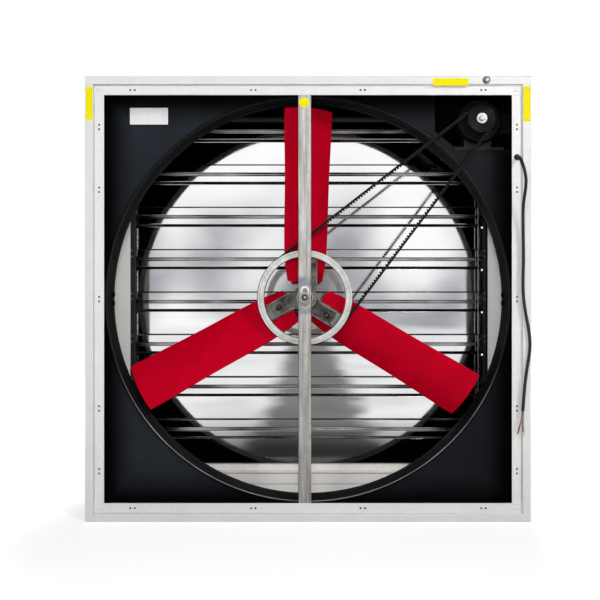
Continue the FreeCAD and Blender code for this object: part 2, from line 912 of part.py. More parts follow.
def make_frame_jamb(side):
    """A side of the shutter frame, drilled for the louvres' pivots."""
    def spot(distance, along):
        return left_or_right(side, distance), along
    body = new_body("rear_frame_" + side)
    outline = [
        spot("jamb_half", "jamb_front"),
        spot("jamb_half", "frame_back"),
        spot("wall", "frame_back"),
        spot("wall", "frame_flange"),
        spot("jamb_half + casing_gauge", "frame_flange"),
        spot("jamb_half + casing_gauge", "jamb_front"),
    ]
    pad(body, "XY", [outline], "axis - sill_drop", "axis + head_rise")
    holes = [("pivot_y", pivot_height(index), "pivot_radius + running_gap") for index in range(LOUVRE_COUNT)]
    low, high = sorted((left_or_right(side, "jamb_half"),
                        left_or_right(side, "jamb_half + casing_gauge")), key=value)
    pocket(body, "YZ", holes, low, high)
    return node(body, "rear_frame_" + side)


def make_sill_stop():
    """The angle on the sill that the lowest louvre closes on."""
    body = new_body("sill_stop")
    outline = [
        ("louvre_y + louvre_gauge / 2", "axis - sill_drop"),
        ("louvre_y + louvre_gauge / 2", "axis - sill_drop + stop_height"),
        ("louvre_y + louvre_gauge / 2 - casing_gauge", "axis - sill_drop + stop_height"),
        ("louvre_y + louvre_gauge / 2 - casing_gauge", "axis - sill_drop + casing_gauge"),
        ("louvre_y + louvre_gauge / 2 - stop_foot", "axis - sill_drop + casing_gauge"),
        ("louvre_y + louvre_gauge / 2 - stop_foot", "axis - sill_drop"),
    ]
    pad(body, "YZ", [outline], "-louvre_half", "louvre_half")
    return node(body, "sill_stop")


# Louvres, pivots and link

def louvre_top(index):
    return f"axis + louvre_rise - {index} * louvre_pitch"


def pivot_height(index):
    return f"{louvre_top(index)} - pivot_drop"


def make_louvre(index):
    """A folded blade: hinge strip, V rib, waist, a step out, a flat face and an inward lip."""
    name = f"louvre_{index + 1}"

    def spot(down, out):
        return f"louvre_y + {out}", f"{louvre_top(index)} - ({down})"
    body = new_body(name)
    inner = "-louvre_gauge / 2"
    outer = "louvre_gauge / 2"
    rib_middle = "louvre_head + louvre_rib / 2"
    rib_end = "louvre_head + louvre_rib"
    step_end = "louvre_fold + louvre_step_run"
    head = [
        spot("0", inner),
        spot("louvre_head", inner),
        spot(rib_middle, f"louvre_rib_depth {inner}"),
        spot(rib_end, inner),
        spot("louvre_fold", inner),
        spot(step_end, f"louvre_step {inner}"),
        spot(step_end, f"louvre_step + {outer}"),
        spot("louvre_fold", outer),
        spot(rib_end, outer),
        spot(rib_middle, f"louvre_rib_depth + {outer}"),
        spot("louvre_head", outer),
        spot("0", outer),
    ]
    pad(body, "YZ", [head], "-louvre_half", "louvre_half")
    face = [
        spot(step_end, f"louvre_step {inner}"),
        spot("louvre_length - louvre_gauge", f"louvre_step {inner}"),
        spot("louvre_length - louvre_gauge", f"{outer} + lip_gap"),
        spot("louvre_length", f"{outer} + lip_gap"),
        spot("louvre_length", f"louvre_step + {outer}"),
        spot(step_end, f"louvre_step + {outer}"),
    ]
    pad(body, "YZ", [face], "-louvre_half + louvre_end_notch", "louvre_half - louvre_end_notch")
    return node(body, name)


def make_louvre_pivots(index):
    """Nylon end blocks with their pins; the right one carries the crank that the link drives."""
    name = f"louvre_pivots_{index + 1}"
    height = pivot_height(index)
    block = rectangle("pivot_y - pivot_block_thick / 2", "pivot_y + pivot_block_thick / 2",
                      f"{louvre_top(index)} - pivot_block", louvre_top(index))
    pieces = []
    for side in ("left", "right"):
        body = new_body(f"{name}_{side}")
        low, high = sorted((left_or_right(side, "crank_right"), left_or_right(side, "louvre_half")), key=value)
        pad(body, "YZ", [block], low, high)
        low, high = sorted((left_or_right(side, "louvre_half"),
                            left_or_right(side, "jamb_half + casing_gauge + pivot_past_jamb")), key=value)
        pad(body, "YZ", [("pivot_y", height, "pivot_radius")], low, high)
        if side == "right":
            pad(body, "YZ", [crank_outline(height)], "crank_left", "crank_right")
            pin = ("crank_y", f"{height} + crank_up", "crank_pin_radius")
            pad(body, "YZ", [pin], "link_left - crank_pin_end", "crank_left")
        pieces.append(body)
    return node(group(name + "_pair", pieces), name)


def crank_outline(height):
    """A short bar from the pivot, inwards and up to the link's pin."""
    def spot(reach, side):
        along = f"pivot_y - ({reach}) * cos(crank_angle) + ({side}) * sin(crank_angle)"
        up = f"{height} + ({reach}) * sin(crank_angle) + ({side}) * cos(crank_angle)"
        return along, up
    far = "crank_reach + crank_wide / 2"
    return [spot("0", "-crank_wide / 2"), spot(far, "-crank_wide / 2"),
            spot(far, "crank_wide / 2"), spot("0", "crank_wide / 2")]


def make_louvre_link():
    """The upright flat bar that ties every louvre's crank to the others."""
    body = new_body("louvre_link")
    first = f"{pivot_height(0)} + crank_up"
    last = f"{pivot_height(LOUVRE_COUNT - 1)} + crank_up"
    bar = rectangle("crank_y - link_wide / 2", "crank_y + link_wide / 2",
                    f"{last} - link_end", f"{first} + link_end")
    holes = [("crank_y", f"{pivot_height(index)} + crank_up", "crank_pin_radius + running_gap")
             for index in range(LOUVRE_COUNT)]
    pad(body, "YZ", [bar] + holes, "link_left", "link_right")
    return node(body, "louvre_link")


# Upright bar, axle and bearings

def make_centre_bar():
    """A square tube with a welded foot at each end, a spanner slot in front and the axle's hole behind."""
    body = new_body("centre_bar")
    inner = "bar_side / 2 - bar_wall"
    outside = rectangle("-bar_side / 2", "bar_side / 2", "bar_front", "bar_rear")
    inside = rectangle(f"-({inner})", inner, "bar_front + bar_wall", "bar_rear - bar_wall")
    pad(body, "XY", [outside, inside], "bar_low", "bar_high")
    stub = rectangle("-bar_side / 2", "bar_side / 2", "bar_rear - stub_depth", "bar_rear")
    foot = rectangle("-foot_half", "foot_half", "bar_rear - stub_depth", "bar_rear - stub_depth + foot_depth")
    holes = [(across, "bar_rear - stub_depth / 2", "bolt_radius + bolt_hole_gap")
             for across in ("-foot_bolt_reach", "foot_bolt_reach")]
    pad(body, "XY", [stub], "casing_gauge", "bar_low")
    pad(body, "XY", [stub], "bar_high", "roof")
    pad(body, "XY", [foot] + holes, "casing_gauge", "casing_gauge + foot_thick")
    pad(body, "XY", [foot] + holes, "roof - foot_thick", "roof")
    slot_middle = "fan_height + bar_slot_rise"
    straight = "(bar_slot_height - bar_slot_width) / 2"
    slot = rectangle("-bar_slot_width / 2", "bar_slot_width / 2",
                     f"{slot_middle} - {straight}", f"{slot_middle} + {straight}")
    ends = [("0", f"{slot_middle} {sign} {straight}", "bar_slot_width / 2") for sign in "-+"]
    pocket(body, "XZ", [slot], "bar_front", "bar_front + bar_wall")
    pocket(body, "XZ", ends, "bar_front", "bar_front + bar_wall")
    hole = ("0", "fan_height", "axle_thread_radius + bolt_hole_gap")
    pocket(body, "XZ", [hole], "bar_rear - bar_wall", "bar_rear")
    return node(place(body, "fan_across"), "centre_bar")


def make_axle():
    """The fixed stub axle: threaded through the bar, a collar against it, a journal and a rear thread."""
    body = new_body("axle")
    nut_front = "bar_front - axle_washer - front_nut_height"
    nut_rear = "hub_rear + axle_washer + axle_nut_height"
    outline = [
        ("0", f"{nut_front} - axle_thread_past_nut"),
        ("axle_thread_radius", f"{nut_front} - axle_thread_past_nut"),
        ("axle_thread_radius", "bar_rear"),
        ("axle_collar_radius", "bar_rear"),
        ("axle_collar_radius", "bar_rear + axle_collar"),
        ("axle_shoulder_radius", "bar_rear + axle_collar"),
        ("axle_shoulder_radius", "hub_front"),
        ("axle_radius", "hub_front"),
        ("axle_radius", "hub_rear"),
        ("axle_thread_radius", "hub_rear"),
        ("axle_thread_radius", f"{nut_rear} + axle_thread_past_nut"),
        ("0", f"{nut_rear} + axle_thread_past_nut"),
    ]
    revolve(body, [outline])
    return node(place_on_fan_axis(body), "axle")


def make_axle_nuts():
    """A washer and a hexagon nut at each end of the axle: over the bar's slot, and behind the hub."""
    pieces = []
    seats = [
        ("front_washer", round_bar, "axle_washer_radius", "bar_front - axle_washer", "bar_front"),
        ("front_nut", hexagon, "axle_nut_radius",
         "bar_front - axle_washer - front_nut_height", "bar_front - axle_washer"),
        ("rear_washer", round_bar, "axle_washer_radius", "hub_rear", "hub_rear + axle_washer"),
        ("rear_nut", hexagon, "axle_nut_radius", "hub_rear + axle_washer",
         "hub_rear + axle_washer + axle_nut_height"),
    ]
    for name, shape, radius, low, high in seats:
        blank = shape(name + "_blank", "Y", radius, low, high, "fan_across", "fan_height")
        thread = round_bar(name + "_bore", "Y", "axle_thread_radius + seat_gap", f"{low} - cut_past",
                           f"{high} + cut_past", "fan_across", "fan_height")
        pieces.append(drilled(name, blank, [thread]))
    return node(group("axle_nut_group", pieces), "axle_nuts")


def bearing_fronts():
    return ["hub_front", "hub_rear - bearing_width"]


def make_races(which):
    """The inner or outer races of both bearings, each with its ball groove."""
    inner, outer = {
        "inner": ("bearing_bore", "axle_radius + race_wall"),
        "outer": ("bearing_radius - race_wall", "bearing_radius"),
    }[which]
    races = []
    for index, start in enumerate(bearing_fronts()):
        body = new_body(f"{which}_race_{index + 1}")
        revolve(body, [rectangle(inner, outer, start, f"{start} + bearing_width")])
        turned_groove(body, [("ball_circle", f"{start} + bearing_width / 2", "ball_radius + ball_gap")])
        races.append(place_on_fan_axis(body))
    return node(group(which + "_race_pair", races), f"bearing_{which}_races")


def make_balls():
    """A ring of balls in each bearing."""
    balls = []
    for start in bearing_fronts():
        for index in range(BALL_COUNT):
            turn = 360 * index / BALL_COUNT
            ball = doc.addObject("Part::Sphere", "ball")
            bind(ball, "Radius", "ball_radius")
            place(ball, f"fan_across + ball_circle * cos({turn})", f"{start} + bearing_width / 2",
                  f"fan_height + ball_circle * sin({turn})")
            balls.append(ball)
    return node(group("ball_rings", balls), "bearing_balls")


# Pulleys and belt

def groove_outline(radius, inside):
    """A pulley's section, as (radius, y), with its V groove."""
    deep = f"({radius}) - groove_depth"
    return [
        (inside, "belt_plane - rim_width / 2"),
        (radius, "belt_plane - rim_width / 2"),
        (radius, "belt_plane - groove_top / 2"),
        (deep, "belt_plane - groove_bottom / 2"),
        (deep, "belt_plane + groove_bottom / 2"),
        (radius, "belt_plane + groove_top / 2"),
        (radius, "belt_plane + rim_width / 2"),
        (inside, "belt_plane + rim_width / 2"),
    ]


def pitched_along(body, loops, low, high):
    """Pad outwards along a blade, in the pitched section plane of its root: x runs to the tail."""
    sketch = new_sketch(body, "XY", ("0", "blade_plane", low), (0, 0, 1), "root_pitch")
    return extrude(body, "PartDesign::Pad", sketch, loops, f"({high}) - ({low})")


def pitched_across_sketch(body, height):
    """A sketch square to the blade root's thickness, at a height towards the intake: y runs outwards."""
    offset = (f"({height}) * sin(root_pitch)", "0", f"({height}) * cos(root_pitch) - blade_plane")
    return new_sketch(body, "XZ", offset, (0, 1, 0), "root_pitch")


def pitched_across(body, loops, low, high):
    sketch = pitched_across_sketch(body, low)
    return extrude(body, "PartDesign::Pad", sketch, loops, f"({high}) - ({low})")


def blade_bolt_hole(body):
    """The bolt hole through whatever lies on the blade's root."""
    hole = ("0", "blade_bolt_reach", "blade_bolt_radius + bolt_hole_gap")
    return cut_both_ways(body, pitched_across_sketch(body, "arm_middle"), [hole], "bolt_hole_reach")


def make_fan_pulley():
    """One casting: the grooved rim, the bearing hub, and three pitched arms with lugs up to the rim."""
    body = new_body("fan_pulley_casting")
    seat = "bearing_radius + seat_gap"
    shoulder = "bearing_radius - hub_bore_shoulder"
    hub = [
        (seat, "hub_front"),
        ("hub_radius", "hub_front"),
        ("hub_radius", "hub_rear"),
        (seat, "hub_rear"),
        (seat, "hub_rear - bearing_width"),
        (shoulder, "hub_rear - bearing_width"),
        (shoulder, "hub_front + bearing_width"),
        (seat, "hub_front + bearing_width"),
    ]
    revolve(body, [hub])
    revolve(body, [groove_outline("rim_radius", "rim_radius - rim_depth")])
    arm_section = rectangle("-arm_width / 2", "arm_width / 2", "-arm_front", "-arm_back")
    arm = pitched_along(body, [arm_section], "arm_start", "arm_end")

    def on_arm(side):
        across = f"{side} * lug_half * cos(root_pitch) + arm_middle * sin(root_pitch)"
        along = f"blade_plane + {side} * lug_half * sin(root_pitch) - arm_middle * cos(root_pitch)"
        return across, along
    rim_back = "belt_plane + rim_width / 2 - lug_sink"
    lug_section = [(on_arm(-1)[0], rim_back), (on_arm(1)[0], rim_back), on_arm(1), on_arm(-1)]
    lug = pad(body, "XY", [lug_section], "arm_end - lug_radial", "arm_end")
    hole = blade_bolt_hole(body)
    repeat_about_axis(body, [arm, lug, hole], BLADE_COUNT)
    return node(turn_on_fan_axis(body, 0), "fan_pulley")


def make_motor_pulley():
    body = new_body("motor_pulley")
    revolve(body, [groove_outline("motor_pulley_radius", "motor_shaft_radius + seat_gap")])
    return node(place(body, "motor_across", "0", "motor_height"), "motor_pulley")


def make_belt():
    """A V-belt on both pulleys: its outer loop is two arcs and the two lines that touch them."""
    plane = value("belt_plane")
    small = value("motor_pulley_radius")
    large = value("rim_radius")
    start = FreeCAD.Vector(value("fan_across"), plane, value("fan_height"))
    end = FreeCAD.Vector(value("motor_across"), plane, value("motor_height"))
    reach = end - start
    spacing = reach.Length
    ahead = reach / spacing
    aside = FreeCAD.Vector(-ahead.z, 0, ahead.x)
    lean = (large - small) / spacing
    flat = math.sqrt(1 - lean ** 2)
    upper = ahead * lean + aside * flat
    lower = ahead * lean - aside * flat
    path = Part.Wire([
        Part.Arc(start + lower * large, start - ahead * large, start + upper * large).toShape(),
        Part.LineSegment(start + upper * large, end + upper * small).toShape(),
        Part.Arc(end + upper * small, end + ahead * small, end + lower * small).toShape(),
        Part.LineSegment(end + lower * small, start + lower * large).toShape(),
    ])
    half_top = value("belt_top / 2")
    half_base = value("belt_top / 2 - belt_thick * tan(groove_slope)")
    deep = value("belt_thick")
    across = FreeCAD.Vector(0, 1, 0)
    top = start + lower * large
    base = start + lower * (large - deep)
    section = Part.makePolygon([top - across * half_top, top + across * half_top,
                                base + across * half_base, base - across * half_base,
                                top - across * half_top])
    belt = doc.addObject("Part::Feature", "v_belt")
    belt.Shape = path.makePipeShell([section], True, False)
    return node(belt, "v_belt")


# Blades

def blade_stations():
    """Each section's radius, its chord, and how far it has twisted from root to tip, from 0 to 1."""
    spread = "(blade_tip + tip_trim - blade_twist_start)"
    stations = [("blade_root", "root_chord", 0)]
    for share in (0, 1 / 3, 2 / 3, 1):
        chord = between("shoulder_chord", "tip_chord", share)
        stations.append((f"blade_twist_start + {share} * {spread}", chord, share))
    return stations


def between(root, tip, share):
    return f"({root} + {share} * ({tip} - {root}))"


def blade_section(body, radius, chord, share):
    """A cambered section with a round nose at -x, a thinner tail at +x and its hump to the intake."""
    camber = between("root_camber", "tip_camber", share)
    thick = between("root_thick", "tip_thick", share)
    pitch = between("root_pitch", "tip_pitch", share)
    sketch = new_sketch(body, "XY", ("0", "blade_plane", radius), (0, 0, 1), pitch)
    nose = f"-{chord} / 2"
    tail = f"{chord} / 2"
    edge = "(nose_thick + tail_thick) / 4"
    arcs = [
        ((nose, "-nose_thick / 2"), (tail, "-tail_thick / 2"), f"{camber} + {thick} / 2 - {edge}", chord),
        ((tail, "tail_thick / 2"), (nose, "nose_thick / 2"), f"{camber} - {thick} / 2 + {edge}", chord),
        ((nose, "nose_thick / 2"), (nose, "-nose_thick / 2"), "nose_bulge", "nose_thick"),
    ]
    for arc in arcs:
        add_bulge(sketch, *arc)
    ends = [FreeCAD.Vector(value(tail), value(up), 0) for up in ("-tail_thick / 2", "tail_thick / 2")]
    edge_line = sketch.addGeometry(Part.LineSegment(*ends))
    pin_point(sketch, edge_line, 1, tail, "-tail_thick / 2")
    pin_point(sketch, edge_line, 2, tail, "tail_thick / 2")
    return sketch


def add_bulge(sketch, start, end, rise, span):
    """An arc between two points that rises by a set height above the line between them."""
    first, last = [FreeCAD.Vector(value(across), value(up), 0) for across, up in (start, end)]
    hump = FreeCAD.Vector(0, -value(rise), 0)
    if start[0] == end[0]:
        hump = FreeCAD.Vector(-value(rise), 0, 0)
    arc = sketch.addGeometry(Part.Arc(first, (first + last) / 2 + hump, last))
    begins = sketch.getPoint(arc, 1)
    order = (1, 2) if (begins - first).Length < (begins - last).Length else (2, 1)
    for point, (across, up) in zip(order, (start, end)):
        pin_point(sketch, arc, point, across, up)
    radius = f"(({span}) ^ 2 / 4 + ({rise}) ^ 2) / (2 * ({rise}))"
    rule = sketch.addConstraint(Sketcher.Constraint("Radius", arc, sketch.Geometry[arc].Radius))
    bind(sketch, f"Constraints[{rule}]", radius)


def trim_blade_tip(body):
    """Cut the blade's end to a circle about the fan's axis."""
    past = "blade_tip + tip_chord"
    ends = rectangle("blade_tip", past, "blade_plane - tip_chord / 2", "blade_plane + tip_chord / 2")
    turned_groove(body, [ends])


def make_blade(index):
    """A moulded blade: a loft of twisted sections, with flat pads on the root for the arm and the clamp."""
    name = f"blade_{index + 1}"
    body = new_body(name)
    sections = [blade_section(body, *station) for station in blade_stations()]
    loft = body.newObject("PartDesign::AdditiveLoft", name + "_loft")
    loft.Profile = sections[0]
    loft.Sections = sections[1:]
    trim_blade_tip(body)
    front_pad = rectangle("-pad_half", "pad_half", "-arm_back", "-root_camber")
    pitched_along(body, [front_pad], "pad_start", "arm_end + pad_proud")
    back_pad = rectangle("-pad_half", "pad_half", "-root_camber", "-clamp_front")
    pitched_along(body, [back_pad], "pad_start", "clamp_end + pad_proud")
    blade_bolt_hole(body)
    return node(turn_on_fan_axis(body, 360 * index / BLADE_COUNT), name)


def make_blade_clamps():
    """A steel plate behind each blade's root."""
    clamps = []
    for index in range(BLADE_COUNT):
        body = new_body(f"blade_clamp_{index + 1}")
        section = rectangle("-clamp_half", "clamp_half", "-clamp_front", "-clamp_back")
        pitched_along(body, [section], "pad_start", "clamp_end")
        blade_bolt_hole(body)
        clamps.append(turn_on_fan_axis(body, 360 * index / BLADE_COUNT))
    return node(group("blade_clamp_group", clamps), "blade_clamps")


def make_blade_bolts():
    """Bolts through clamp, blade and arm, with a dome nut on the intake side."""
    bolts = []
    reach = "blade_bolt_reach"
    corners = [(f"blade_bolt_head_radius * cos({turn})", f"{reach} + blade_bolt_head_radius * sin({turn})")
               for turn in range(0, 360, 60)]
    for index in range(BLADE_COUNT):
        body = new_body(f"blade_bolt_{index + 1}")
        pitched_across(body, [("0", reach, "blade_bolt_radius")], "clamp_back", "arm_front")
        pitched_across(body, [corners], "clamp_back - blade_bolt_head", "clamp_back")
        pitched_across(body, [corners], "arm_front", "arm_front + dome_nut")
        pitched_across(body, [("0", reach, "dome_radius")], "arm_front + dome_nut",
                       "arm_front + dome_nut + dome_height")
        bolts.append(turn_on_fan_axis(body, 360 * index / BLADE_COUNT))
    return node(group("blade_bolt_group", bolts), "blade_bolts")


# Motor

def on_motor_axis(body, label):
    return node(place(body, "motor_across", "0", "motor_height"), label)


def make_motor_housing():
    """The finned stator housing with cast feet and the terminal box's seat."""
    body = new_body("motor_housing")
    barrel = [("0", "0", "motor_body_radius"), ("0", "0", "rotor_radius + rotor_gap")]
    pad(body, "XZ", barrel, "motor_front", "motor_rear")
    fin = rectangle("-fin_thick / 2", "fin_thick / 2", "motor_body_radius - fin_sink", "motor_body_radius + fin_height")
    fins = pad(body, "XZ", [fin], "motor_front + fin_thick", "motor_rear - fin_thick")
    repeat_about_axis(body, [fins], FIN_COUNT)
    low = "-motor_centre_height"
    foot = [
        ("-foot_pad_half", low),
        ("foot_pad_half", low),
        ("foot_pad_half", f"{low} + foot_pad_thick"),
        ("foot_web_half", f"{low} + foot_pad_thick"),
        ("foot_web_half", f"{low} + foot_web_sink"),
        ("-foot_web_half", f"{low} + foot_web_sink"),
        ("-foot_web_half", f"{low} + foot_pad_thick"),
        ("-foot_pad_half", f"{low} + foot_pad_thick"),
    ]
    for sign in "-+":
        middle = f"foot_middle {sign} foot_bolt_along"
        pad(body, "XZ", [foot], f"{middle} - foot_pad_length / 2", f"{middle} + foot_pad_length / 2")
    seat = rectangle("motor_body_radius - foot_pad_thick", "box_seat",
                     "-box_seat_half_height", "box_seat_half_height")
    pad(body, "XZ", [seat], "foot_middle - box_seat_half_length", "foot_middle + box_seat_half_length")
    holes = [(f"{side} * foot_bolt_across", f"foot_middle {sign} foot_bolt_along", "bolt_radius + bolt_hole_gap")
             for side in (-1, 1) for sign in "-+"]
    pocket(body, "XY", holes, low, f"{low} + foot_pad_thick")
    return on_motor_axis(body, "motor_housing")


def make_end_shields():
    """Bearing shields at both ends of the motor."""
    bore = "motor_shaft_radius + running_gap"
    front = new_body("end_shield_front")
    revolve(front, [[
        (bore, "motor_front"),
        ("shield_radius", "motor_front"),
        ("shield_radius", "motor_front - shield_length / 2"),
        ("shield_radius - shield_taper", "motor_front - shield_length"),
        ("shield_boss_radius", "motor_front - shield_length"),
        ("shield_boss_radius", "motor_front - shield_length - shield_boss"),
        (bore, "motor_front - shield_length - shield_boss"),
    ]])
    back = new_body("end_shield_back")
    revolve(back, [[
        (bore, "motor_rear"),
        ("shield_radius", "motor_rear"),
        ("shield_radius", "motor_rear + shield_length"),
        (bore, "motor_rear + shield_length"),
    ]])
    shields = [place(body, "motor_across", "0", "motor_height") for body in (front, back)]
    return node(group("end_shield_pair", shields), "motor_end_shields")


def make_motor_cowl():
    """A sheet cowl with a round air inlet, slipped over the rear shield."""
    body = new_body("motor_cowl")
    inner = "shield_radius + seat_gap"
    outer = "shield_radius + seat_gap + cowl_wall"
    end = "motor_rear + cowl_length"
    revolve(body, [[
        (inner, "motor_rear + seat_gap"),
        (outer, "motor_rear + seat_gap"),
        (outer, end),
        ("cowl_inlet_radius", end),
        ("cowl_inlet_radius", f"{end} - cowl_wall"),
        (inner, f"{end} - cowl_wall"),
    ]])
    return on_motor_axis(body, "motor_cowl")


def make_terminal_box():
    """A cast box on the motor's side, with a wider lid."""
    body = new_body("motor_terminal_box")
    box = rectangle("box_seat", "box_seat + box_depth", "-box_seat_half_height", "box_seat_half_height")
    pad(body, "XZ", [box], "foot_middle - box_seat_half_length", "foot_middle + box_seat_half_length")
    lid = rectangle("box_seat + box_depth - box_lid", "box_seat + box_depth",
                    "-box_seat_half_height - box_lid_lap", "box_seat_half_height + box_lid_lap")
    pad(body, "XZ", [lid], "foot_middle - box_seat_half_length - box_lid_lap",
        "foot_middle + box_seat_half_length + box_lid_lap")
    return on_motor_axis(body, "motor_terminal_box")


def make_motor_shaft():
    """The shaft, with the rotor core on it."""
    body = new_body("motor_shaft")
    revolve(body, [[
        ("0", "pulley_front"),
        ("motor_shaft_radius", "pulley_front"),
        ("motor_shaft_radius", "foot_middle - rotor_length / 2"),
        ("rotor_radius", "foot_middle - rotor_length / 2"),
        ("rotor_radius", "foot_middle + rotor_length / 2"),
        ("motor_shaft_radius", "foot_middle + rotor_length / 2"),
        ("motor_shaft_radius", "motor_rear + shield_length"),
        ("0", "motor_rear + shield_length"),
    ]])
    return on_motor_axis(body, "motor_shaft")


def make_pulley_bolt():
    """The washer and bolt that hold the pulley on the shaft."""
    body = new_body("motor_pulley_bolt")
    pad(body, "XZ", [("0", "0", "pulley_washer_radius")], "pulley_front - pulley_washer", "pulley_front")
    corners = [(f"pulley_bolt_radius * cos({turn})", f"pulley_bolt_radius * sin({turn})")
               for turn in range(0, 360, 60)]
    face = "pulley_front - pulley_washer"
    pad(body, "XZ", [corners], f"{face} - pulley_bolt_head", face)
    return on_motor_axis(body, "motor_pulley_bolt")


def wall_bolt_places():
    """Where the shelf's flange is bolted to the casing: along Y and up."""
    middle = "shelf_front + shelf_length / 2"
    return [(f"{middle} {sign} wall_bolt_spread", "shelf_top - wall_bolt_drop") for sign in "-+"]


def make_motor_shelf():
    """A folded bracket: the motor's shelf, its flange on the right wall and a gusset at each end."""
    body = new_body("motor_shelf")
    flange_low = "shelf_top - shelf_drop"
    left = "motor_across - shelf_left"
    shelf = [
        (left, "shelf_top"),
        ("wall", "shelf_top"),
        ("wall", flange_low),
        ("wall - shelf_gauge", flange_low),
        ("wall - shelf_gauge", "shelf_low"),
        (left, "shelf_low"),
    ]
    pad(body, "XZ", [shelf], "shelf_front", "shelf_back")
    gusset = [
        (f"{left} + gusset_inset", "shelf_low"),
        ("wall - shelf_gauge", "shelf_low"),
        ("wall - shelf_gauge", f"{flange_low} + gusset_inset"),
    ]
    pad(body, "XZ", [gusset], "shelf_front", "shelf_front + gusset_gauge")
    pad(body, "XZ", [gusset], "shelf_back - gusset_gauge", "shelf_back")
    holes = [(f"motor_across {side} foot_bolt_across", f"foot_middle {sign} foot_bolt_along",
              "bolt_radius + bolt_hole_gap") for side in "-+" for sign in "-+"]
    pocket(body, "XY", holes, "shelf_low", "shelf_top")
    wall_holes = [(along, up, "bolt_radius + bolt_hole_gap") for along, up in wall_bolt_places()]
    pocket(body, "YZ", wall_holes, "wall - shelf_gauge", "wall")
    return node(body, "motor_shelf")


# Loose bolts of the frame

def make_bolt(name, along, head_at, tip_at, first, second, nut_at=None):
    """A hexagon bolt from its head's seat to its tip, with a nut whose seat is given."""
    towards = 1 if value(tip_at) > value(head_at) else -1

    def span(start, length):
        end = f"({start}) + {towards} * ({length})"
        return sorted((start, end), key=value)
    low, high = sorted((head_at, tip_at), key=value)
    pieces = [round_bar(name + "_shank", along, "bolt_radius", low, high, first, second)]
    low, high = span(head_at, "-bolt_head")
    pieces.append(hexagon(name + "_head", along, "bolt_head_radius", low, high, first, second))
    if nut_at:
        low, high = span(nut_at, "nut_height")
        pieces.append(hexagon(name + "_nut", along, "bolt_head_radius", low, high, first, second))
    return fuse(name, pieces)


def make_frame_bolts():
    """The bar's foot bolts, the motor's and its shelf's bolts, and the round-headed band bolt."""
    bolts = []
    foot_y = "bar_rear - stub_depth / 2"
    for across in ("fan_across - foot_bolt_reach", "fan_across + foot_bolt_reach"):
        bolts.append(make_bolt("bar_bolt", "Z", "casing_gauge + foot_thick", "0", across, foot_y))
        bolts.append(make_bolt("bar_bolt", "Z", "roof - foot_thick", "casing_side", across, foot_y))
    for side in "-+":
        for sign in "-+":
            bolts.append(make_bolt("motor_bolt", "Z", "shelf_top + foot_pad_thick", "shelf_low - nut_height",
                                   f"motor_across {side} foot_bolt_across",
                                   f"foot_middle {sign} foot_bolt_along", "shelf_low"))
    for along, up in wall_bolt_places():
        bolts.append(make_bolt("shelf_bolt", "X", "wall - shelf_gauge", "half", along, up))
    height = "axis + half - front_band / 2"
    spans = [
        ("band_bolt_shank", "bolt_radius", "front", "front + casing_gauge + nut_height"),
        ("band_washer", "band_washer_radius", "front - band_washer", "front"),
        ("band_bolt_head", "band_bolt_radius", "front - band_washer - band_bolt_height", "front - band_washer"),
    ]
    pieces = [round_bar(name, "Y", radius, low, high, "band_bolt_across", height)
              for name, radius, low, high in spans]
    pieces.append(hexagon("band_nut", "Y", "bolt_head_radius", "front + casing_gauge",
                          "front + casing_gauge + nut_height", "band_bolt_across", height))
    bolts.append(fuse("band_bolt", pieces))
    return node(group("frame_bolt_group", bolts), "frame_bolts")


# Grommet, cord and cores

def make_grommet():
    """A rubber grommet snapped into the right strip, with a tapered nose."""
    body = new_body("cord_grommet")
    face = "strip_back"
    back = "strip_back + strip_gauge"
    revolve(body, [[
        ("grommet_bore", f"{face} - grommet_nose"),
        ("grommet_neck", f"{face} - grommet_nose"),
        ("grommet_lip", f"{face} - grommet_nose / 2"),
        ("grommet_lip", face),
        ("grommet_neck", face),
        ("grommet_neck", back),
        ("grommet_lip", back),
        ("grommet_lip", f"{back} + grommet_tail"),
        ("grommet_bore", f"{back} + grommet_tail"),
    ]])
    return node(place(body, "strip_middle", "0", "grommet_height"), "cord_grommet")


def bent_tube(name, points, radius):
    """A round tube along straight runs joined by arcs as large as the runs allow."""
    grommet = FreeCAD.Vector(value("strip_middle"), value("strip_back"), value("grommet_height"))
    spots = [grommet + FreeCAD.Vector(*point) for point in points]
    edges = []
    radii = []
    start = spots[0]
    for before, corner, after in zip(spots, spots[1:], spots[2:]):
        back = before - corner
        ahead = after - corner
        cut = BEND_SHARE * min(back.Length, ahead.Length)
        back.normalize()
        ahead.normalize()
        turn = math.pi - back.getAngle(ahead)
        bend = cut / math.tan(turn / 2)
        entry = corner + back * cut
        leave = corner + ahead * cut
        inwards = back + ahead
        inwards.normalize()
        middle = corner + inwards * (bend / math.cos(turn / 2) - bend)
        edges.append(Part.LineSegment(start, entry).toShape())
        edges.append(Part.Arc(entry, middle, leave).toShape())
        radii.append(bend)
        start = leave
    edges.append(Part.LineSegment(start, spots[-1]).toShape())
    path = Part.Wire(edges)
    run = spots[1] - spots[0]
    circle = Part.Wire(Part.Circle(spots[0], run, radius).toShape())
    tube = path.makePipeShell([circle], True, False)
    plain = math.pi * radius ** 2 * path.Length
    print(f"{name}: length {path.Length:.1f}, least radius {min(radii):.1f}, "
          f"volume over section times length {tube.Volume / plain:.4f}")
    print("  radii " + " ".join(f"{bend:.0f}" for bend in radii))
    return tube


def make_power_cord():
    cord = doc.addObject("Part::Feature", "power_cord")
    cord.Shape = bent_tube("power_cord", CORD_ROUTE, value("cord_radius"))
    return node(cord, "power_cord")


def make_cord_cores():
    """The four cores that the jacket leaves bare."""
    cores = []
    for index, route in enumerate(CORE_ROUTES):
        core = doc.addObject("Part::Feature", f"core_{index + 1}")
        core.Shape = bent_tube(core.Name, route, value("core_radius"))
        cores.append(core)
    return node(group("core_group", cores), "cord_cores")


# Assembly

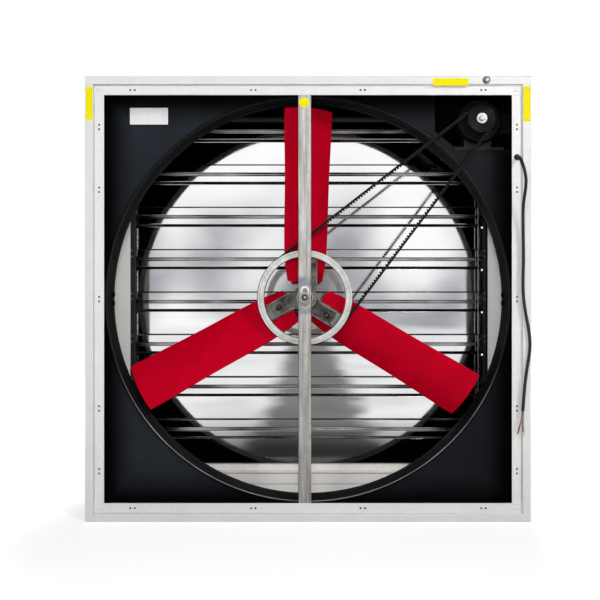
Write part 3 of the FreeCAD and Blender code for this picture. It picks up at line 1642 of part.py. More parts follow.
def make_fan():
    for side in ("top", "bottom"):
        make_long_panel(side)
        make_long_strip(side)
        make_frame_rail(side)
    for side in ("left", "right"):
        make_side_panel(side)
        make_side_strip(side)
        make_frame_jamb(side)
    make_strip_rivets()
    make_sill_stop()
    make_venturi_panel()
    for half in ("upper", "lower"):
        make_venturi_ring(half)
    make_ring_splices()
    for index in range(LOUVRE_COUNT):
        make_louvre(index)
        make_louvre_pivots(index)
    make_louvre_link()
    make_centre_bar()
    make_axle()
    make_axle_nuts()
    make_races("inner")
    make_races("outer")
    make_balls()
    make_fan_pulley()
    for index in range(BLADE_COUNT):
        make_blade(index)
    make_blade_clamps()
    make_blade_bolts()
    make_motor_housing()
    make_end_shields()
    make_motor_cowl()
    make_terminal_box()
    make_motor_shaft()
    make_motor_pulley()
    make_pulley_bolt()
    make_motor_shelf()
    make_belt()
    make_frame_bolts()
    make_grommet()
    make_power_cord()
    make_cord_cores()


def check_fan():
    """Stop if anything in the document failed or a sub-part isn't a sound solid."""
    doc.recompute()
    for thing in doc.Objects:
        if "Invalid" in thing.State or "Error" in thing.State:
            raise RuntimeError(f"{thing.Label} failed: {thing.State}")
    for thing in NODES:
        if thing.Shape.isNull() or not thing.Shape.isValid() or not thing.Shape.Solids:
            raise RuntimeError(f"{thing.Label} has no sound solid")


def write_fan():
    os.makedirs("parts", exist_ok=True)
    for thing in NODES:
        thing.Shape.exportStep(os.path.join("parts", thing.Label + ".step"))
        print(f"{thing.Label}: {len(thing.Shape.Solids)} solids, {thing.Shape.Volume:.0f} mm3")


make_fan()
check_fan()
write_fan()
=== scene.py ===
import json
from math import asin, copysign, cos, pi, radians, sin

import bmesh
import bpy
from mathutils import Matrix, Vector


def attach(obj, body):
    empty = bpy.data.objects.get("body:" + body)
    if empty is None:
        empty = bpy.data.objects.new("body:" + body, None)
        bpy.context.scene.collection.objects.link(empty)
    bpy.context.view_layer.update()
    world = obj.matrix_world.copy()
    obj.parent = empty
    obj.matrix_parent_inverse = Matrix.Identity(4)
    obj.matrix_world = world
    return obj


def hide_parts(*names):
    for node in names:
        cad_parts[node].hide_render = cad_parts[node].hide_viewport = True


# Looks of a belt-driven square exhaust fan, in metres, in the same frame as its solids.
# The intake side faces -Y, +X is right and +Z is up.

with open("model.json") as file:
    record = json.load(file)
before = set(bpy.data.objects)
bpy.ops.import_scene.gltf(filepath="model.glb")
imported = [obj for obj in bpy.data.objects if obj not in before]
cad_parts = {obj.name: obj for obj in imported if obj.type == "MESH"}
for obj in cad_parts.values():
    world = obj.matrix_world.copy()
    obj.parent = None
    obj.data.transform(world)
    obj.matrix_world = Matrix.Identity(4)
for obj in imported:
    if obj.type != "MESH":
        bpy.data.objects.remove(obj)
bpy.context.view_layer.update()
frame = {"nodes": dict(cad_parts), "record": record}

NODES = frame["nodes"]
RECORD = frame["record"]
BODY_OF = {node: body for body, nodes in RECORD["behaviour"]["bodies"].items() for node in nodes}
SLOT_OF = {entry["node"]: entry["material_slot"] for entry in RECORD["subparts"]}
MM = 0.001

# Places and sizes that several pieces share

MIDDLE = 0.690
FAN_AXIS = Vector((-0.010, 0, 0.695))
MOTOR_AXIS = Vector((0.551, 0, 1.263))
INTAKE_WAY = (0, -1, 0)
FRONT_FACE = -0.200
STRIP_FACE = -0.190
BAR_FACE = -0.1885
PANEL_FACE = -0.110
CASING_SIDE = 0.690
CASING_INNER = 0.688
STRIP_MIDDLE = 0.6495
BELT_PLANE = -0.129
BELT_AT_FAN = 0.150
BELT_AT_MOTOR = 0.044
BLADE_PLANE = -0.078
BLADE_PITCH = radians(28)
BLADE_TURNS = (1.2, 121.2, 241.2)
LOUVRES = range(1, 9)
FIRST_PIVOT = 1.304
LOUVRE_PITCH = 0.1505
SHEET = 0.0012
COVER_FACE = 0.1165
COVER_FOLD = 0.008

# The view, with the picture's width and sideways shift in pixels

CAMERA_REACH = 2.450
CAMERA_LENS = 47.52
CAMERA_SENSOR = 36
PICTURE_PIXELS = 600
SHIFT_PIXELS = -8
SHIFT_UP = -0.0015


# Node helpers

class Nodes:
    """Short names for the nodes that finishes, studio and repeated pieces are made of."""

    def __init__(self, tree):
        self.tree = tree

    def add(self, kind, **settings):
        """Add a node of a kind and set its properties."""
        node = self.tree.nodes.new(kind)
        for name, value in settings.items():
            setattr(node, name, value)
        return node

    def feed(self, value, socket):
        """Link an output to a socket, or set the socket to a plain value or an opaque colour."""
        if isinstance(value, bpy.types.NodeSocket):
            self.tree.links.new(value, socket)
        else:
            socket.default_value = (*value, 1.0) if socket.type == "RGBA" else value

    def run(self, kind, output, *values, **named):
        """Add a node, feed its inputs in turn or by their capital names, and give back one output."""
        node = self.add(kind, **{name: value for name, value in named.items() if name.islower()})
        for index, value in enumerate(values):
            self.feed(value, node.inputs[index])
        self.feed_named(node, {name: value for name, value in named.items() if not name.islower()})
        return node.outputs[output]

    def feed_named(self, node, sockets):
        """Feed the inputs of a node by names that have an underscore for each space."""
        for name, value in sockets.items():
            self.feed(value, node.inputs[name.replace("_", " ")])

    def place(self, scale=(1, 1, 1), shift=(0, 0, 0)):
        """Object coordinates, stretched and shifted."""
        spot = self.add("ShaderNodeTexCoord").outputs["Object"]
        return self.run("ShaderNodeMapping", "Vector", Vector=spot, Scale=scale, Location=shift)

    def cloud(self, place, scale, detail=3.0, roughness=0.5, distortion=0.0):
        """Soft noise from 0 to 1."""
        return self.run("ShaderNodeTexNoise", 0, Vector=place, Scale=scale, Detail=detail,
                        Roughness=roughness, Distortion=distortion)

    def crystals(self, place, scale):
        """A flat random value in each cell."""
        cells = self.run("ShaderNodeTexVoronoi", "Color", Vector=place, Scale=scale)
        return self.run("ShaderNodeSeparateColor", 0, cells)

    def rings(self, place, scale, distortion=0.5):
        """Rings about the Y axis, as a lathe leaves them."""
        return self.run("ShaderNodeTexWave", "Fac", Vector=place, Scale=scale, Distortion=distortion,
                        wave_type="RINGS", rings_direction="Y")

    def spread(self, value, low, high, start=0.0, end=1.0):
        """Carry a value from one span to another, and no further."""
        return self.run("ShaderNodeMapRange", "Result", Value=value, From_Min=start, From_Max=end, To_Min=low,
                        To_Max=high)

    def reckon(self, operation, first, second=0.0):
        """Work out one sum of two values."""
        return self.run("ShaderNodeMath", 0, first, second, operation=operation)

    def product(self, first, *others):
        """Multiply values, one after the other."""
        for other in others:
            first = self.reckon("MULTIPLY", first, other)
        return first

    def beside(self, value, middle, full, none):
        """A share that is 1 near a middle value and falls to 0 away from it."""
        away = self.reckon("ABSOLUTE", self.reckon("SUBTRACT", value, middle))
        return self.spread(away, 1.0, 0.0, full, none)

    def split(self, place):
        """The outputs X, Y and Z of a place."""
        node = self.add("ShaderNodeSeparateXYZ")
        self.feed(place, node.inputs[0])
        return node.outputs

    def length(self, place):
        """How far a place lies from the origin."""
        return self.run("ShaderNodeVectorMath", "Value", place, operation="LENGTH")

    def tint(self, share, first, second):
        """Mix two colours by a share."""
        node = self.add("ShaderNodeMix", data_type="RGBA")
        for index, value in ((0, share), (6, first), (7, second)):
            self.feed(value, node.inputs[index])
        return node.outputs[2]

    def blend(self, share, first, second):
        """Mix two shaders by a share."""
        return self.run("ShaderNodeMixShader", 0, share, first, second)

    def background(self, tone, strength):
        """The light of a world that has one tone."""
        return self.run("ShaderNodeBackground", 0, Color=tone, Strength=strength)


class Finish(Nodes):
    """A material in the making, with a Principled shader whose uniform values are set on its own sockets."""

    def __init__(self, name, **sockets):
        self.material = bpy.data.materials.new(name)
        self.material.use_nodes = True
        super().__init__(self.material.node_tree)
        self.shader = self.tree.nodes["Principled BSDF"]
        self.feed_named(self.shader, sockets)

    def coat(self, base, rough, height=None, strength=0.0, depth=0.0):
        """Set the colour, the roughness and a fine relief, and give back the material."""
        self.feed(base, self.shader.inputs["Base Color"])
        self.feed(rough, self.shader.inputs["Roughness"])
        if height is not None:
            relief = self.run("ShaderNodeBump", "Normal", Height=height, Strength=strength, Distance=depth)
            self.feed(relief, self.shader.inputs["Normal"])
        return self.material


# Finishes

def zinc_sheet(name, light, dark, spangle=70.0, streaks=(9, 9, 0.7)):
    """Galvanised sheet: faint crystal spangle, rubbed streaks and cloudy dulling."""
    look = Finish(name, Metallic=0.15)
    place = look.place()
    cells = look.crystals(place, spangle)
    clouds = look.cloud(place, 3.2, 5.0, 0.6)
    rubbed = look.cloud(look.place(streaks), 6.0, 4.0, 0.6)
    mixed = look.reckon("ADD", look.product(cells, 0.25), look.product(clouds, 0.45))
    mixed = look.reckon("ADD", mixed, look.product(rubbed, 0.35))
    base = look.tint(look.spread(mixed, 0.0, 1.0, 0.25, 0.8), dark, light)
    return look.coat(base, look.spread(clouds, 0.34, 0.52, 0.3, 0.7), cells, 0.05, 0.0004)


def worn_tube():
    """The bar's zinc, streaked along its length, with bluish rubbed marks above and below the axle."""
    look = Finish("worn_tube", Metallic=0.45)
    long_streaks = look.cloud(look.place((60, 60, 2.2)), 2.2, 6.0, 0.65)
    patches = look.cloud(look.place(), 11.0, 4.0, 0.6)
    mottle = look.cloud(look.place((1, 1, 0.6)), 70.0, 4.0, 0.65)
    height = look.split(look.place(shift=-FAN_AXIS))["Z"]
    base = look.tint(look.spread(long_streaks, 0.0, 1.0, 0.32, 0.68), (0.26, 0.25, 0.235),
                     (0.86, 0.845, 0.81))
    base = look.tint(look.spread(mottle, 0.0, 0.5, 0.5, 0.75), base, (0.30, 0.29, 0.275))
    # The bar is made darker and browner towards the bottom.
    darker_lower_down = look.spread(height, 0.34, 0.0, -0.3, 0.5)
    base = look.tint(darker_lower_down, base, (0.24, 0.215, 0.195))
    above = look.beside(height, 0.047, 0.009, 0.022)
    below = look.beside(height, -0.041, 0.005, 0.016)
    rubbed = look.product(look.reckon("MAXIMUM", above, below), look.spread(mottle, 0.45, 0.95, 0.35, 0.6))
    scuffs = look.reckon("MAXIMUM", rubbed, look.spread(patches, 0.0, 0.55, 0.58, 0.74))
    base = look.tint(scuffs, base, (0.22, 0.25, 0.30))
    return look.coat(base, look.spread(patches, 0.28, 0.5, 0.3, 0.7), long_streaks, 0.12, 0.0006)


def bead_with_painted_highlight():
    """The ring's black bead, with a painted highlight: a thin pale line along the lower half, broken in
    places.
    """
    look = Finish("bead_black", Specular_IOR_Level=0.22)
    centred = look.place((1, 0, 1), shift=(0, 0, -MIDDLE))
    bloom = look.cloud(look.place(), 9.0, 4.0, 0.62)
    lower_half = look.spread(look.split(centred)["Z"], 1.0, 0.0, -0.44, -0.20)
    broken = look.spread(bloom, 0.35, 1.0, 0.35, 0.6)
    # Painted highlight: a thin pale line in the paint along the bead's lower half.
    line = look.product(look.beside(look.length(centred), 0.6455, 0.0005, 0.0016), lower_half, broken)
    base = look.tint(line, (0.004, 0.0043, 0.005), (0.34, 0.34, 0.35))
    return look.coat(base, look.spread(bloom, 0.32, 0.48, 0.3, 0.7))


def dusty_edge_shaded_panel():
    """The panel's black paint, bluish with a bloom of dust, lighter towards the left, and darkened beside the
    frame's strips as painted shade.
    """
    look = Finish("panel_black", Specular_IOR_Level=0.1)
    place = look.place()
    spot = look.split(look.place(shift=(0, 0, -MIDDLE)))
    outwards = look.reckon("MAXIMUM", look.reckon("ABSOLUTE", spot["X"]), look.reckon("ABSOLUTE", spot["Z"]))
    # Painted shade: the paint goes darker within a few centimetres of the frame's strips.
    clear_of_strip_shade = look.spread(outwards, 1.0, 0.0, 0.55, 0.635)
    bloom = look.spread(look.cloud(place, 5.0, 5.0, 0.62), 0.55, 1.0, 0.35, 0.7)
    more_left = look.spread(spot["X"], 1.0, 0.36, -0.6, 0.6)
    # dust: the dust bloom, lighter to the left, times the painted shade beside the strips.
    dust = look.product(clear_of_strip_shade, bloom, more_left)
    base = look.tint(dust, (0.0008, 0.0009, 0.0011), (0.0215, 0.0255, 0.0335))
    peel = look.cloud(place, 420.0, 2.0, 0.5)
    return look.coat(base, look.spread(bloom, 0.42, 0.55, 0.5, 1.0), peel, 0.10, 0.0005)


def turned_black():
    """Black paint over turned faces: broad lathe rings about the motor's axis."""
    look = Finish("turned_black", Specular_IOR_Level=0.12)
    rings = look.rings(look.place(shift=-MOTOR_AXIS), 42.0, 0.2)
    bloom = look.cloud(look.place(), 30.0, 4.0, 0.6)
    base = look.tint(look.spread(rings, 0.0, 1.0, 0.3, 0.8), (0.0012, 0.0014, 0.0018),
                     (0.006, 0.007, 0.009))
    return look.coat(base, look.spread(bloom, 0.3, 0.5, 0.3, 0.7), rings, 0.5, 0.0015)


def mirror_sheet():
    """Bright-rolled stainless: near-mirror, a trace of rolling grain, a very slight waviness."""
    look = Finish("mirror_sheet", Metallic=1.0)
    grain = look.cloud(look.place((1.2, 260, 260)), 3.0, 4.0, 0.6)
    smears = look.cloud(look.place((2.5, 6, 6)), 2.0, 4.0, 0.55)
    waves = look.cloud(look.place((1.4, 5, 5)), 1.6, 1.0, 0.4)
    base = look.tint(smears, (0.86, 0.865, 0.87), (0.95, 0.95, 0.95))
    rolled = look.spread(grain, 0.0, 0.04, 0.35, 0.7)
    rough = look.reckon("ADD", rolled, look.spread(smears, 0.02, 0.07, 0.3, 0.7))
    return look.coat(base, rough, waves, 0.06, 0.004)


def turned_rim():
    """Machined pulley rim: lathe rings, nicks, a thin dark groove line, and painted shade along its inner
    edge.
    """
    look = Finish("turned_rim", Metallic=0.6)
    centred = look.place((1, 0, 1), shift=-FAN_AXIS)
    radius = look.length(centred)
    clouds = look.cloud(look.place(), 40.0, 5.0, 0.65)
    nicks = look.cloud(look.place(), 190.0, 4.0, 0.7)
    base = look.tint(look.spread(clouds, 0.0, 1.0, 0.3, 0.7), (0.56, 0.56, 0.535), (0.88, 0.88, 0.855))
    base = look.tint(look.spread(nicks, 0.0, 0.7, 0.58, 0.72), base, (0.24, 0.24, 0.225))
    groove = look.product(look.beside(radius, 0.1435, 0.0003, 0.0011), 0.45)
    # Painted shade: the rim's inner edge goes dark, as if in shadow.
    lip = look.spread(radius, 1.0, 0.0, 0.1298, 0.1312)
    base = look.tint(look.reckon("MAXIMUM", groove, lip), base, (0.055, 0.055, 0.05))
    rings = look.rings(centred, 160.0)
    return look.coat(base, look.spread(clouds, 0.28, 0.46, 0.3, 0.7), rings, 0.10, 0.0003)


def mottled(name, tones, patches, span, rough, grain=None, stretch=(1, 1, 1), grain_stretch=(1, 1, 1),
            **sockets):
    """Two tones mixed by soft patches that also set the roughness, over a fine grain.

    The patches and the grain are given as clouds, the grain with its relief's strength and depth. The span
    is the part of the patches that leads from the first tone to the second.
    """
    look = Finish(name, **sockets)
    soft = look.cloud(look.place(stretch), *patches)
    base = look.tint(look.spread(soft, 0.0, 1.0, *span), *tones)
    relief = ()
    if grain:
        scale, detail, roughness, strength, depth = grain
        relief = (look.cloud(look.place(grain_stretch), scale, detail, roughness), strength, depth)
    return look.coat(base, look.spread(soft, *rough, 0.3, 0.7), *relief)


def black_paint(name, dark, dusty, rough, shine, grain=260.0):
    """Stoved black paint: fine orange peel and a thin bloom of dust."""
    return mottled(name, (dark, dusty), (5.0, 5.0, 0.62), (0.35, 0.75), rough,
                   (grain, 2.0, 0.5, 0.10, 0.0005), Specular_IOR_Level=shine)


def cast_arm(name, dark, light):
    """Sand-cast grey-green arms and hub, dull, blotched and grainy."""
    return mottled(name, (dark, light), (26.0, 5.0, 0.65), (0.36, 0.64), (0.5, 0.36),
                   (320.0, 3.0, 0.6, 0.18, 0.0005), Metallic=0.35)


def plated_steel(name, dark, light, rough=(0.2, 0.42)):
    """Zinc-plated fasteners and ground steel."""
    return mottled(name, (dark, light), (90.0, 3.0, 0.6), (0.0, 1.0), rough,
                   (900.0, 2.0, 0.5, 0.05, 0.0002), Metallic=0.9)


def soft_plastic(name, dark, light, rough=(0.4, 0.6)):
    """Rubber, nylon and cable sheath: slight mottling and a fine skin."""
    return mottled(name, (dark, light), (45.0, 4.0, 0.6), (0.3, 0.7), rough,
                   (700.0, 2.0, 0.5, 0.08, 0.0003), Specular_IOR_Level=0.4)


def sheet_film(name, clean, worn):
    """A blank stuck-on film with scuffs and slight wrinkles."""
    return mottled(name, (clean, worn), (70.0, 5.0, 0.7), (0.5, 0.75), (0.32, 0.55),
                   (55.0, 2.0, 0.5, 0.15, 0.0006), Specular_IOR_Level=0.12)


ZINC = zinc_sheet("zinc_sheet", (0.79, 0.79, 0.785), (0.72, 0.72, 0.72))
ZINC_STRIP = zinc_sheet("zinc_strip", (0.83, 0.83, 0.82), (0.75, 0.75, 0.745), 90.0, (0.9, 9, 0.9))
ZINC_CREAM = zinc_sheet("zinc_cream", (0.90, 0.875, 0.84), (0.80, 0.775, 0.74))
# A paler copy of the cream zinc for the recessed jamb and sill covers: painted light in place of lamp light
# that does not reach them.
JAMB_BRIGHTENED = zinc_sheet("jamb_pale", (0.98, 0.96, 0.93), (0.92, 0.90, 0.87))
TUBE = worn_tube()
PANEL_BLACK = dusty_edge_shaded_panel()
RING_BLACK = black_paint("ring_black", (0.002, 0.0022, 0.0028), (0.006, 0.0065, 0.0075), (0.4, 0.6),
                         0.012, 420.0)
BEAD_BLACK = bead_with_painted_highlight()
MOTOR_BLACK = black_paint("motor_black", (0.003, 0.0034, 0.0042), (0.009, 0.0095, 0.011), (0.34, 0.6),
                          0.12)
FOOT_GREY = black_paint("foot_grey", (0.016, 0.016, 0.0135), (0.040, 0.040, 0.034), (0.4, 0.6), 0.12)
TURNED_BLACK = turned_black()
MIRROR = mirror_sheet()
# The louvres' folds that look down: the same steel, darkened in patches as painted shade
SHADED_FOLD = mottled("shaded_fold", ((0.02, 0.02, 0.021), (0.62, 0.59, 0.58)), (4.0, 4.0, 0.6),
                      (0.40, 0.68), (0.16, 0.32), stretch=(1.4, 30, 30), Metallic=1.0)
# Glossy red blade plastic with faint flow marks
RED = mottled("red_moulding", ((0.44, 0.0002, 0.012), (0.56, 0.0004, 0.018)), (1.6, 5.0, 0.55, 0.8),
              (0.3, 0.72), (0.30, 0.42), (240.0, 2.0, 0.5, 0.04, 0.0004), stretch=(4, 4, 4),
              Specular_IOR_Level=0.03)
RIM = turned_rim()
ARM = cast_arm("cast_arm", (0.062, 0.061, 0.055), (0.29, 0.285, 0.26))
# A lighter copy of the arm finish for the lips along the arms: a painted highlight on their edges.
ARM_HIGHLIT = cast_arm("cast_edge", (0.20, 0.20, 0.18), (0.50, 0.49, 0.45))
PLATED = plated_steel("plated_steel", (0.46, 0.46, 0.44), (0.74, 0.74, 0.72))
GROUND = plated_steel("ground_steel", (0.24, 0.23, 0.21), (0.44, 0.42, 0.39), (0.3, 0.5))
DULL_STEEL = plated_steel("dull_steel", (0.10, 0.098, 0.092), (0.22, 0.215, 0.20), (0.34, 0.5))
RUST_TINGED = plated_steel("rust_tinged_steel", (0.05, 0.034, 0.022), (0.15, 0.11, 0.075), (0.35, 0.6))
NYLON = soft_plastic("black_nylon", (0.010, 0.010, 0.011), (0.022, 0.022, 0.024))
JACKET = soft_plastic("cord_jacket", (0.008, 0.008, 0.009), (0.020, 0.020, 0.022), (0.34, 0.5))
# Belt rubber with a wrapped-cloth weave and patches of brownish scuffing
BELT = mottled("cog_rubber", ((0.007, 0.007, 0.007), (0.020, 0.018, 0.016)), (60.0, 4.0, 0.65),
               (0.45, 0.75), (0.5, 0.75), (1.0, 2.0, 0.5, 0.25, 0.0004), grain_stretch=(900, 500, 900),
               Specular_IOR_Level=0.12)
YELLOW = sheet_film("yellow_film", (0.88, 0.78, 0.002), (0.74, 0.64, 0.004))
WHITE_PLATE = sheet_film("white_plate", (0.84, 0.84, 0.845), (0.74, 0.74, 0.75))
CORE_FINISHES = [
    soft_plastic("core_red", (0.40, 0.010, 0.012), (0.56, 0.03, 0.025)),
    soft_plastic("core_green", (0.02, 0.16, 0.05), (0.04, 0.26, 0.08)),
    soft_plastic("core_yellow", (0.60, 0.42, 0.02), (0.75, 0.55, 0.05)),
    soft_plastic("core_blue", (0.012, 0.04, 0.24), (0.025, 0.07, 0.36)),
]


# Mesh helpers

def in_scene(name, data):
    """Put an object with its data in the scene."""
    thing = bpy.data.objects.new(name, data)
    bpy.context.scene.collection.objects.link(thing)
    return thing


def new_piece(name, mesh, finish=None):
    """Put a mesh in the scene, with one finish if asked."""
    piece = in_scene(name, mesh)
    if finish:
        mesh.materials.clear()
        mesh.materials.append(finish)
    return piece


def settle(piece, body, slot, *stood_for):
    """Let a finished piece ride on its body and stand for CAD nodes. The slot is not used."""
    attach(piece, body)
    if stood_for:
        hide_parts(*stood_for)
    return piece


def smooth_by_angle(mesh, degrees):
    """Shade a mesh smooth, save at edges sharper than an angle."""
    mesh.polygons.foreach_set("use_smooth", [True] * len(mesh.polygons))
    mesh.set_sharp_from_angle(angle=radians(degrees))


def baked(piece):
    """A plain mesh of the piece as its modifiers leave it."""
    bpy.context.view_layer.update()
    graph = bpy.context.evaluated_depsgraph_get()
    return bpy.data.meshes.new_from_object(piece.evaluated_get(graph))


def mesh_of(name, shape, outwards=True):
    """Turn a bmesh into a mesh, with its faces turned outwards if asked."""
    if outwards:
        bmesh.ops.recalc_face_normals(shape, faces=shape.faces)
    mesh = bpy.data.meshes.new(name)
    shape.to_mesh(mesh)
    shape.free()
    return mesh


def merged_solid(node):
    """A copy of a CAD node with its loose triangles joined and its flat faces made whole."""
    shape = bmesh.new()
    shape.from_mesh(NODES[node].data)
    bmesh.ops.remove_doubles(shape, verts=shape.verts, dist=2e-6)
    bmesh.ops.dissolve_limit(shape, angle_limit=radians(0.3), verts=shape.verts, edges=shape.edges)
    mesh = mesh_of(node + "_merged", shape, outwards=False)
    stale = mesh.attributes.get("custom_normal")
    if stale:
        mesh.attributes.remove(stale)
    return mesh


def bevelled(draft, round_edge, segments=2, limit="ANGLE"):
    """Round a draft's edges, keeping its flat faces flat, and drop the draft."""
    bevel = draft.modifiers.new("rounded_edges", "BEVEL")
    bevel.width = round_edge * MM
    bevel.segments = segments
    bevel.limit_method = limit
    bevel.angle_limit = radians(40)
    bevel.harden_normals = True
    mesh = baked(draft)
    bpy.data.objects.remove(draft)
    return mesh


def stand_in(node, mesh, finish):
    """Let a mesh stand for a CAD node, on its body."""
    return settle(new_piece(node + "_finished", mesh, finish), BODY_OF[node], SLOT_OF[node], node)


def rounded_solid(node, finish, round_edge, segments=2, smooth=40):
    """Stand in for a CAD node with the same shape, its edges rounded and its curves smooth."""
    draft = new_piece(node + "_draft", merged_solid(node), finish)
    smooth_by_angle(draft.data, smooth)
    return stand_in(node, bevelled(draft, round_edge, segments), finish)


def folded_sheet(node, finish, bend=2.0, segments=4):
    """Stand in for a folded sheet: only its long folds are rounded, its cut edges stay crisp."""
    shortest_fold = 0.5
    narrowest_face = 0.003
    slightest_bend = radians(10)
    draft = new_piece(node + "_draft", merged_solid(node), finish)
    shape = bmesh.new()
    shape.from_mesh(draft.data)
    weight = shape.edges.layers.float.new("bevel_weight_edge")
    for edge in shape.edges:
        length = edge.calc_length()
        if length < shortest_fold or len(edge.link_faces) != 2:
            continue
        widths = [face.calc_area() / length for face in edge.link_faces]
        if min(widths) > narrowest_face and edge.calc_face_angle() > slightest_bend:
            edge[weight] = 1.0
    shape.to_mesh(draft.data)
    shape.free()
    smooth_by_angle(draft.data, 5)
    return stand_in(node, bevelled(draft, bend, segments, "WEIGHT"), finish)


def trim(name, shape, finish, slot, body="frame", round_edge=0.3, smooth=30):
    """A piece of trim from a bmesh, with its edges slightly rounded."""
    draft = new_piece(name + "_draft", mesh_of(name, shape), finish)
    smooth_by_angle(draft.data, smooth)
    return settle(new_piece(name, bevelled(draft, round_edge), finish), body, slot)


def refinish(piece, finish, chosen):
    """Give the chosen faces of a piece another finish."""
    piece.data.materials.append(finish)
    index = len(piece.data.materials) - 1
    for face in piece.data.polygons:
        if chosen(face):
            face.material_index = index


def box_of(shape, low, high):
    """Add a box between two corners to a bmesh."""
    corners = [(x, y, z) for x in (low[0], high[0]) for y in (low[1], high[1]) for z in (low[2], high[2])]
    hull_of(shape, corners)


def hull_of(shape, spots):
    """Add the convex solid round some spots to a bmesh."""
    bmesh.ops.convex_hull(shape, input=[shape.verts.new(spot) for spot in spots])


def skin(shape, rows, ends=True):
    """Faces between neighbouring closed rows of points, and over the first and the last row."""
    count = len(rows[0])
    for low, high in zip(rows, rows[1:]):
        for i in range(count):
            j = (i + 1) % count
            shape.faces.new((low[i], low[j], high[j], high[i]))
    if ends:
        shape.faces.new(rows[0][::-1])
        shape.faces.new(rows[-1])


def circle_of(shape, radius, height, steps):
    """A row of points on a circle about Z."""
    turns = [2 * pi * i / steps for i in range(steps)]
    return [shape.verts.new((radius * cos(turn), radius * sin(turn), height)) for turn in turns]


def lathe(profile, steps, name):
    """Turn a (radius, height) profile about Z into a closed mesh."""
    shape = bmesh.new()
    rings = []
    for radius, height in profile:
        if radius == 0:
            rings.append([shape.verts.new((0, 0, height))])
        else:
            rings.append(circle_of(shape, radius, height, steps))
    for low, high in zip(rings, rings[1:]):
        for i in range(steps):
            j = i + 1
            corners = [low[i % len(low)], low[j % len(low)], high[j % len(high)], high[i % len(high)]]
            shape.faces.new(list(dict.fromkeys(corners)))
    bmesh.ops.remove_doubles(shape, verts=shape.verts, dist=1e-7)
    return mesh_of(name, shape)


def hexagon_head(name, radius, height, washer_radius, washer_height, dome_radius=0, dome_height=0):
    """A washer, a hexagon with a chamfered top, and a dome on it if asked, standing on Z = 0."""
    top = washer_height + height
    spans = [
        (48, [(washer_radius, 0), (washer_radius, washer_height * 0.7),
              (washer_radius * 0.96, washer_height)]),
        (6, [(radius, washer_height), (radius, washer_height + height * 0.82), (radius * 0.9, top)]),
    ]
    if dome_height:
        arc = [(dome_radius * cos(a), top + dome_height * sin(a)) for a in (0, 0.4, 0.8, 1.15)]
        spans.append((24, arc))
    shape = bmesh.new()
    for steps, profile in spans:
        skin(shape, [circle_of(shape, ring, up, steps) for ring, up in profile])
    mesh = mesh_of(name, shape)
    smooth_by_angle(mesh, 35)
    return mesh


def dome_head(name, radius, height, rim=0.25):
    """A low round head with a small square rim."""
    arc = [(radius * cos(a), height * (rim + (1 - rim) * sin(a))) for a in (0, 0.35, 0.7, 1.05, 1.35)]
    mesh = lathe([(0, 0), (radius, 0)] + arc + [(0, height)], 20, name)
    smooth_by_angle(mesh, 50)
    return mesh


def rounded_film(name, width, height, corner, thick, finish, place, slot="galvanised"):
    """A thin blank film with round corners, its back on the sheet that carries it."""
    shape = bmesh.new()
    outline = []
    for across, up, start in ((1, 1, 0), (-1, 1, 90), (-1, -1, 180), (1, -1, 270)):
        for step in range(6):
            angle = radians(start + 18 * step)
            outline.append((across * (width / 2 - corner) + corner * cos(angle),
                            up * (height / 2 - corner) + corner * sin(angle)))
    back = [shape.verts.new((x, 0, z)) for x, z in outline]
    front = [shape.verts.new((x, -thick, z)) for x, z in outline]
    edge = [shape.verts.new((x * (1 - thick / width), -thick * 1.15, z * (1 - thick / height)))
            for x, z in outline]
    skin(shape, [back, front, edge])
    mesh = mesh_of(name, shape)
    mesh.transform(Matrix.Translation(place))
    return settle(new_piece(name, mesh, finish), "frame", slot)


# Repeated pieces, by Geometry Nodes

def new_tree(name, inputs):
    """A Geometry Nodes tree with named inputs, and the identifiers that a modifier sets them by."""
    tree = bpy.data.node_groups.new(name, "GeometryNodeTree")
    tree.interface.new_socket("Geometry", in_out="INPUT", socket_type="NodeSocketGeometry")
    names = {}
    for label, kind in inputs.items():
        socket = tree.interface.new_socket(label, in_out="INPUT", socket_type="NodeSocket" + kind)
        names[label] = socket.identifier
    tree.interface.new_socket("Geometry", in_out="OUTPUT", socket_type="NodeSocketGeometry")
    return Nodes(tree), names, tree.nodes.new("NodeGroupInput").outputs


def finish_tree(nodes, instances, entry):
    """End a tree with real meshes that carry the asked finish."""
    real = nodes.run("GeometryNodeRealizeInstances", "Geometry", Geometry=instances)
    finished = nodes.run("GeometryNodeSetMaterial", "Geometry", Geometry=real, Material=entry["Finish"])
    nodes.feed(finished, nodes.add("NodeGroupOutput").inputs["Geometry"])


def heads_tree():
    """Puts one head on each marked place, its Z along the place's facing."""
    inputs = {"Head": "Object", "Size": "Float", "Finish": "Material"}
    nodes, names, entry = new_tree("heads_on_places", inputs)
    head = nodes.run("GeometryNodeObjectInfo", "Geometry", Object=entry["Head"])
    facing = nodes.run("GeometryNodeInputNamedAttribute", "Attribute", Name="facing",
                       data_type="FLOAT_VECTOR")
    turn = nodes.run("FunctionNodeAlignRotationToVector", "Rotation", Vector=facing, axis="Z")
    put = nodes.run("GeometryNodeInstanceOnPoints", "Instances", Points=entry["Geometry"], Instance=head,
                    Rotation=turn, Scale=entry["Size"])
    finish_tree(nodes, put, entry)
    return nodes.tree, names


